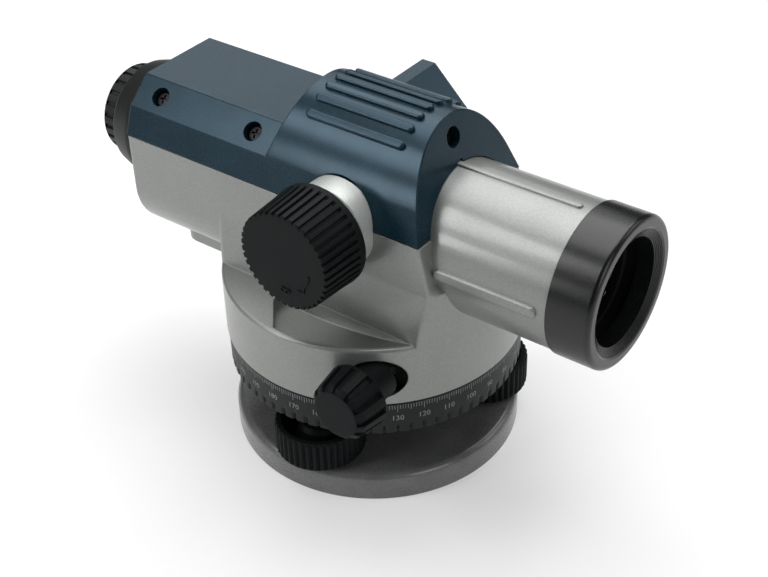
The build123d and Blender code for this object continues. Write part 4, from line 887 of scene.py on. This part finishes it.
DRIVE_SHAFT_R, DRIVE_Y0, DRIVE_Y1 = 3.0, 42.5, 67.6      # a drive knob's bore, and its two ends
for side, name in ((-1, "right"), (1, "left")):
    outer = rounded([(DRIVE_SHAFT_R, DRIVE_Y0), (7.5, DRIVE_Y0), (7.5, 54.6), (12.45, 54.6), (12.3, 56.4),
                     (11.0, 65.6), (8.9, DRIVE_Y1), (0, DRIVE_Y1)],
                    [0, 0.4, 0.3, 0.5, 0, 0.9, 0.7, 0], closed=False)
    shaft_hole = [(0, 64.0), (DRIVE_SHAFT_R, 64.0), (DRIVE_SHAFT_R, DRIVE_Y0)]
    low, high = sorted((side * 55.3, side * 66.9))
    turned = lathe(f"grooved_drive_knob_{name}", [(r, side * t) for r, t in dense(outer, 0.8) + shaft_hole],
                   "Y", DRIVE_AT, 432, beyond(9.4, grooves(12, 1.4, low, high, 0.42, 0.30)), ring=False)
    piece(turned, "drive", BLACK_KNOB, "knob_black", f"drive_knob_{name}", angle=28)
    # a thin black disc closes each drive hole from inside round the shaft: painted shade, so that the hole
    # reads dark
    shade_outline = [(3.1, 36.1), (8.55, 36.1), (8.55, 36.6), (3.1, 36.9)]
    shade_disc = lathe(f"hole_shade_{name}", [(r, side * t) for r, t in shade_outline], "Y", DRIVE_AT, 64)
    piece(shade_disc, "housing", BLACK_INSIDE, "inner_black")

# ---------------------------------------------------------------- objective
MOUTH_R0, MOUTH_R1, MOUTH_X0, MOUTH_X1 = 22.8, 19.3, 106.1, 104.3
RING_R, RING_X0, RING_X1 = 27.4, 90.05, 106.4
CELL_SEAT_X = 98.4               # step in the ring that the cell stops at
RIDGES = 6
mouth = []
for k in range(RIDGES):
    for share, sunk in ((0.0, 0.0), (0.5, 0.0), (0.6, 0.5), (0.9, 0.5)):
        t = (k + share) / RIDGES
        mouth.append((MOUTH_R0 + (MOUTH_R1 - MOUTH_R0) * t, MOUTH_X0 + (MOUTH_X1 - MOUTH_X0) * t - sunk))
objective = lathe(
    "objective_hood_ring",
    rounded([(TUBE_BORE_R, RING_X0), (RING_R, RING_X0), (RING_R, RING_X1), (23.4, RING_X1),
             (MOUTH_R0, MOUTH_X0)], [0.1, 0.35, 3.5, 0.2, 0], closed=False, steps=10)
    + mouth[1:] + [(MOUTH_R1, MOUTH_X1), (MOUTH_R1, CELL_SEAT_X), (TUBE_BORE_R, CELL_SEAT_X)],
    segments=256,
)
piece(objective, "housing", BLACK_SATIN, "black_anodised", "objective_ring", angle=28)

cell = lathe("objective_cell_ring", [(18.4, 76.0), (23.55, 76.0), (23.55, CELL_SEAT_X - 0.05),
                                     (20.4, CELL_SEAT_X - 0.05), (20.4, 82.0), (18.4, 82.0)])
piece(cell, "housing", BLACK_INSIDE, "inner_black", "objective_cell")
LENS_R, EYE_LENS_R, MOVING_LENS_R = 20.35, 8.6, 10.5
retainer = lathe(
    "objective_retaining_ring",
    rounded([(18.8, 91.0), (LENS_R, 91.0), (LENS_R, 94.0), (19.5, 94.0), (18.8, 93.4)],
            [0.1, 0.1, 0.2, 0.1, 0.1]))
piece(retainer, "housing", BLACK_INSIDE, "inner_black", "objective_retainer")


def bulge(edge_x, rise, radius, steps=14):
    """Half outline of a spherical lens face as (radius, x), from its edge in to its apex."""
    sphere = (radius ** 2 + rise ** 2) / (2 * abs(rise))
    sign = 1 if rise > 0 else -1
    out = []
    for k in range(steps + 1):
        r = radius * (1 - k / steps)
        out.append((r, edge_x + rise - sign * (sphere - sqrt(sphere ** 2 - r ** 2))))
    return out


def lens(name, profile, segments=160):
    """Solid glass turned from a profile that ends on the axis."""
    return lathe(name, profile, segments=segments, ring=False)


crown_lens = lens("crown_lens", bulge(90.5, 3.0, LENS_R)[::-1] + bulge(88.05, -3.0, LENS_R))
piece(crown_lens, "housing", LENS, "lens_glass", "objective_crown")
flint_lens = lens("flint_lens", bulge(87.95, -3.0, LENS_R)[::-1] + [(LENS_R, 82.05), (0, 82.05)])
piece(flint_lens, "housing", LENS, "lens_glass", "objective_flint")
moving_lens = lens("moving_lens",
                   bulge(22.0, -1.2, MOVING_LENS_R)[::-1] + bulge(17.0, 1.2, MOVING_LENS_R), 96)
piece(moving_lens, "focus_slide", LENS, "lens_glass", "focus_lens")
eye_lens = lens("eye_lens", [(0, -109.5), (EYE_LENS_R, -109.5), (EYE_LENS_R, -114.0), (0, -114.0)], 96)
field_lens = lens("field_lens",
                  bulge(-99.5, 1.4, EYE_LENS_R)[::-1] + [(EYE_LENS_R, -104.0), (0, -104.0)], 96)
piece(merge("eyepiece_lenses", [eye_lens, field_lens]), "ocular", LENS, "lens_glass", "ocular_lenses")

# ---------------------------------------------------------------- eyepiece
EYE_TUBE_R, EYE_TUBE_END = 12.5, -117.8
eye_cover = lathe(
    "eyepiece_shroud",
    rounded([(16.0, BODY_REAR), (24.2, BODY_REAR), (24.2, -100.6), (21.6, -109.6), (19.8, -111.5),
             (12.9, -111.5), (12.9, -109.5), (19.2, -109.5), (21.8, -101.0), (21.8, -93.0), (16.0, -93.0)],
            [0.2, 0.5, 7.0, 1.6, 0.9, 0.3, 0.2, 0.4, 2.0, 0.4, 0.2], steps=8),
    segments=192,
)
piece(eye_cover, "housing", BLACK_EYEPIECE, "knob_black", "eyepiece_cover")
eye_tube = lathe(
    "eyepiece_barrel",
    rounded([(10.1, EYE_TUBE_END), (EYE_TUBE_R, EYE_TUBE_END), (EYE_TUBE_R, -93.05), (16.0, -93.05),
             (16.0, -91.05), (EYE_TUBE_R, -91.05), (EYE_TUBE_R, -81.0), (10.1, -81.0)],
            [0.2, 0.3, 0, 0.2, 0.2, 0, 0.3, 0.2]),
    segments=128,
)
piece(eye_tube, "housing", BLACK_SATIN, "black_anodised", "eyepiece_tube")
dioptre = lathe(
    "dioptre_grip_ring",
    dense(rounded([(8.0, -119.0), (18.0, -119.0), (18.0, -111.9), (12.55, -111.9), (12.55, -117.9),
                   (8.0, -117.9)], [0.8, 1.1, 0.4, 0.2, 0.2, 0.3], steps=6), 0.8, closed=True),
    segments=480, shape=beyond(16.4, grooves(24, 0.95, -118.4, -112.6, 0.34, 0.3)),
)
piece(dioptre, "dioptre", BLACK_EYEPIECE, "knob_black", "dioptre_ring")

# ---------------------------------------------------------------- circular level and its mirror
LEVEL_X, LEVEL_Y = 3.0, 40.6
LEVEL_SCREW_R = 6.0              # the three screws stand on this radius
case_profile = rounded([(0, 97.5), (8.4, 97.5), (8.4, 105.0), (7.25, 105.0), (7.25, 99.1), (0, 99.1)],
                       [0, 0.5, 0.7, 0.2, 0, 0], closed=False)
case = lathe("level_cup", case_profile, "Z", (LEVEL_X, LEVEL_Y, 0.0), 96, ring=False)
piece(case, "housing", BLACK_KNOB, "level_case_black", "level_case")
mirror_sum = HOOD_X1 + ROOF_Z - 2.83     # x + z over the mirror's face
mirror = prism(
    "hood_mirror",
    [(-6.0, mirror_sum + 4.0), (8.8, mirror_sum - 10.8), (9.8, mirror_sum - 9.8), (-5.0, mirror_sum + 5.0)],
    crosswise, 33.0, HOOD_Y1 - 2.3,
)
piece(mirror, "housing", MIRROR, "mirror_face", "viewing_mirror")
SHELF_X0, SHELF_X1, BRACKET_Z0, BRACKET_Z1 = -8.0, 14.0, 93.0, 95.5
shelf = prism(
    "level_shelf",
    rounded([(SHELF_X0, BODY_W), (SHELF_X1, BODY_W), (SHELF_X1, 50.6), (SHELF_X0, 50.6)],
            [0, 0, 6.0, 6.0], steps=8),
    upright, BRACKET_Z0, BRACKET_Z1, low_round=0.4, high_round=0.4,
)
pad = prism(
    "pad",
    rounded([(SHELF_X0, 90.3), (SHELF_X1, 90.3), (SHELF_X1, BRACKET_Z1), (SHELF_X0, BRACKET_Z1)],
            0.6, steps=3),
    crosswise, BODY_W, BODY_W + 2.4, high_round=0.4,
)
shelf = combine(shelf, [pad], "UNION")
screw_holes = []
for angle in (90, 210, 330):
    x, y = polar(LEVEL_SCREW_R, angle)
    screw_holes.append(rod(1.12, 92.0, 97.0, "Z", (LEVEL_X + x, LEVEL_Y + y, 0), 24))
shelf = combine(shelf, screw_holes, "DIFFERENCE")
shelf.name = "level_shelf"
piece(shelf, "housing", SILVER, "housing_paint", "level_bracket")

# ---------------------------------------------------------------- levelling head
ARM_HALF, ARM_Z0, ARM_Z1 = 6.5, 30.5, 38.0
NECK_R, NECK_TOP = 19.0, 44.0    # carries the circle
arm_outline = [(0, -ARM_HALF), (SCREW_RADIUS, -ARM_HALF), (SCREW_RADIUS, ARM_HALF), (0, ARM_HALF)]
boss_profile = rounded([(0, 29.0), (8.5, 29.0), (8.5, 40.0), (0, 40.0)], [0, 0.8, 0.8, 0], closed=False)
head_parts = []
for angle, place in zip(SCREW_ANGLES, SCREW_PLACES):
    arm = prism("arm", arm_outline, upright, ARM_Z0, ARM_Z1, low_round=0.8, high_round=0.8)
    arm.data.transform(Matrix.Rotation(radians(angle), 4, "Z"))
    head_parts += [arm, lathe("boss", boss_profile, "Z", place, 64, ring=False)]
hub_profile = rounded(
    [(0, ARM_Z0), (23.0, ARM_Z0), (23.0, ARM_Z1), (NECK_R, ARM_Z1 + 0.05),
     (NECK_R, NECK_TOP), (0, NECK_TOP)],
    [0, 0.8, 0.8, 0.3, 0.3, 0], closed=False)
hub = combine(lathe("hub", hub_profile, "Z", (0, 0, 0), 128, ring=False), head_parts, "UNION")
hub = combine(hub, [rod(12.0, 25.0, 50.0, "Z", (0, 0, 0))]
              + [rod(6.8, 25.0, 45.0, "Z", place, 64) for place in SCREW_PLACES], "DIFFERENCE")
hub.name = "three_arm_head"
piece(hub, "head", BLACK_SATIN, "black_anodised", "levelling_head")

# ---------------------------------------------------------------- camera, light and floor
CAMERA_TARGET = Vector((4.66, 0.0, 58.48)) * MM
CAMERA_DISTANCE, CAMERA_AZIMUTH, CAMERA_ELEVATION, CAMERA_ROLL = 0.5455, 37.61, 36.25, -1.78
az, el, roll = radians(CAMERA_AZIMUTH), radians(CAMERA_ELEVATION), radians(CAMERA_ROLL)
back = Vector((sin(az) * cos(el), -cos(az) * cos(el), sin(el)))
right = Vector((cos(az), sin(az), 0))
up = back.cross(right)
camera_data = bpy.data.cameras.new("camera")
camera_data.sensor_width, camera_data.lens = 36.0, 67.59
camera_data.clip_start, camera_data.clip_end = 0.01, 20.0
camera = bpy.data.objects.new("camera", camera_data)
bpy.context.scene.collection.objects.link(camera)
axes = Matrix((cos(roll) * right + sin(roll) * up, cos(roll) * up - sin(roll) * right, back)).transposed()
camera.matrix_world = Matrix.Translation(CAMERA_TARGET + back * CAMERA_DISTANCE) @ axes.to_4x4()
bpy.context.scene.camera = camera

FLOOR_HALF = 12000
GLOW_NEAR, GLOW_FAR = (0.45, 0.39), (1.3, 0.22)      # metres from the middle, and strength there
corners = ((-1, -1), (1, -1), (1, 1), (-1, 1))
floor = add_mesh("floor", [(FLOOR_HALF * x, FLOOR_HALF * y, 0) for x, y in corners], [(0, 1, 2, 3)])
floor_look = Nodes("pale_floor")
pale = floor_look.ramp(floor_look.noise(400.0), [(0.3, (0.54, 0.54, 0.54)), (0.7, (0.56, 0.56, 0.56))])
floor_look.link(pale, "Base Color")
floor_look.shader.inputs["Roughness"].default_value = 0.9
floor_look.shader.inputs["Specular IOR Level"].default_value = 0.1
floor_look.shader.inputs["Emission Color"].default_value = (1.0, 1.0, 1.0, 1.0)
reach = floor_look.add("VectorMath", operation="LENGTH")
floor_look.tree.links.new(floor_look.place, reach.inputs[0])
glow = floor_look.spread(reach.outputs["Value"], GLOW_NEAR[1], GLOW_FAR[1], GLOW_NEAR[0], GLOW_FAR[0])
floor_look.link(glow, "Emission Strength")
floor.data.materials.append(floor_look.material)


def softbox(name, place, target, width, height, power):
    """Rectangular area light at place, facing target, in metres and watts."""
    data = bpy.data.lights.new(name, "AREA")
    data.shape, data.size, data.size_y, data.energy = "RECTANGLE", width, height, power
    light = bpy.data.objects.new(name, data)
    light.location = place
    light.rotation_mode = "QUATERNION"
    light.rotation_quaternion = (Vector(target) - Vector(place)).to_track_quat("-Z", "Y")
    bpy.context.scene.collection.objects.link(light)


softbox("top_light", (-0.20, 0.35, 1.15), (0, 0, 0.06), 1.3, 1.1, 18.0)
softbox("back_light", (-0.95, 1.15, 0.95), (0, 0, 0.08), 1.0, 0.7, 3.0)
softbox("left_light", (-0.76, -0.86, 1.16), (0, 0, 0.08), 0.55, 0.60, 8.0)
softbox("side_light", (-0.78, -1.32, 0.50), (0, 0, 0.09), 0.30, 0.34, 4.0)
softbox("right_light", (1.35, -0.35, 0.75), (0, 0, 0.08), 0.7, 0.8, 4.5)
softbox("rim_light", (0.95, 1.00, 0.80), (0, 0, 0.08), 0.8, 0.7, 3.5)
world = bpy.data.worlds.new("studio")
world.use_nodes = True
nodes, links = world.node_tree.nodes, world.node_tree.links
direction = nodes.new("ShaderNodeTexCoord")
height = nodes.new("ShaderNodeSeparateXYZ")
links.new(direction.outputs["Generated"], height.inputs[0])
shade = nodes.new("ShaderNodeMapRange")
links.new(height.outputs["Z"], shade.inputs["Value"])
for socket, value in (("From Min", -1.0), ("From Max", 1.0), ("To Min", 0.05), ("To Max", 0.33)):
    shade.inputs[socket].default_value = value
links.new(shade.outputs["Result"], nodes["Background"].inputs["Strength"])
bpy.context.scene.world = world
bpy.context.scene.view_settings.view_transform = "Standard"
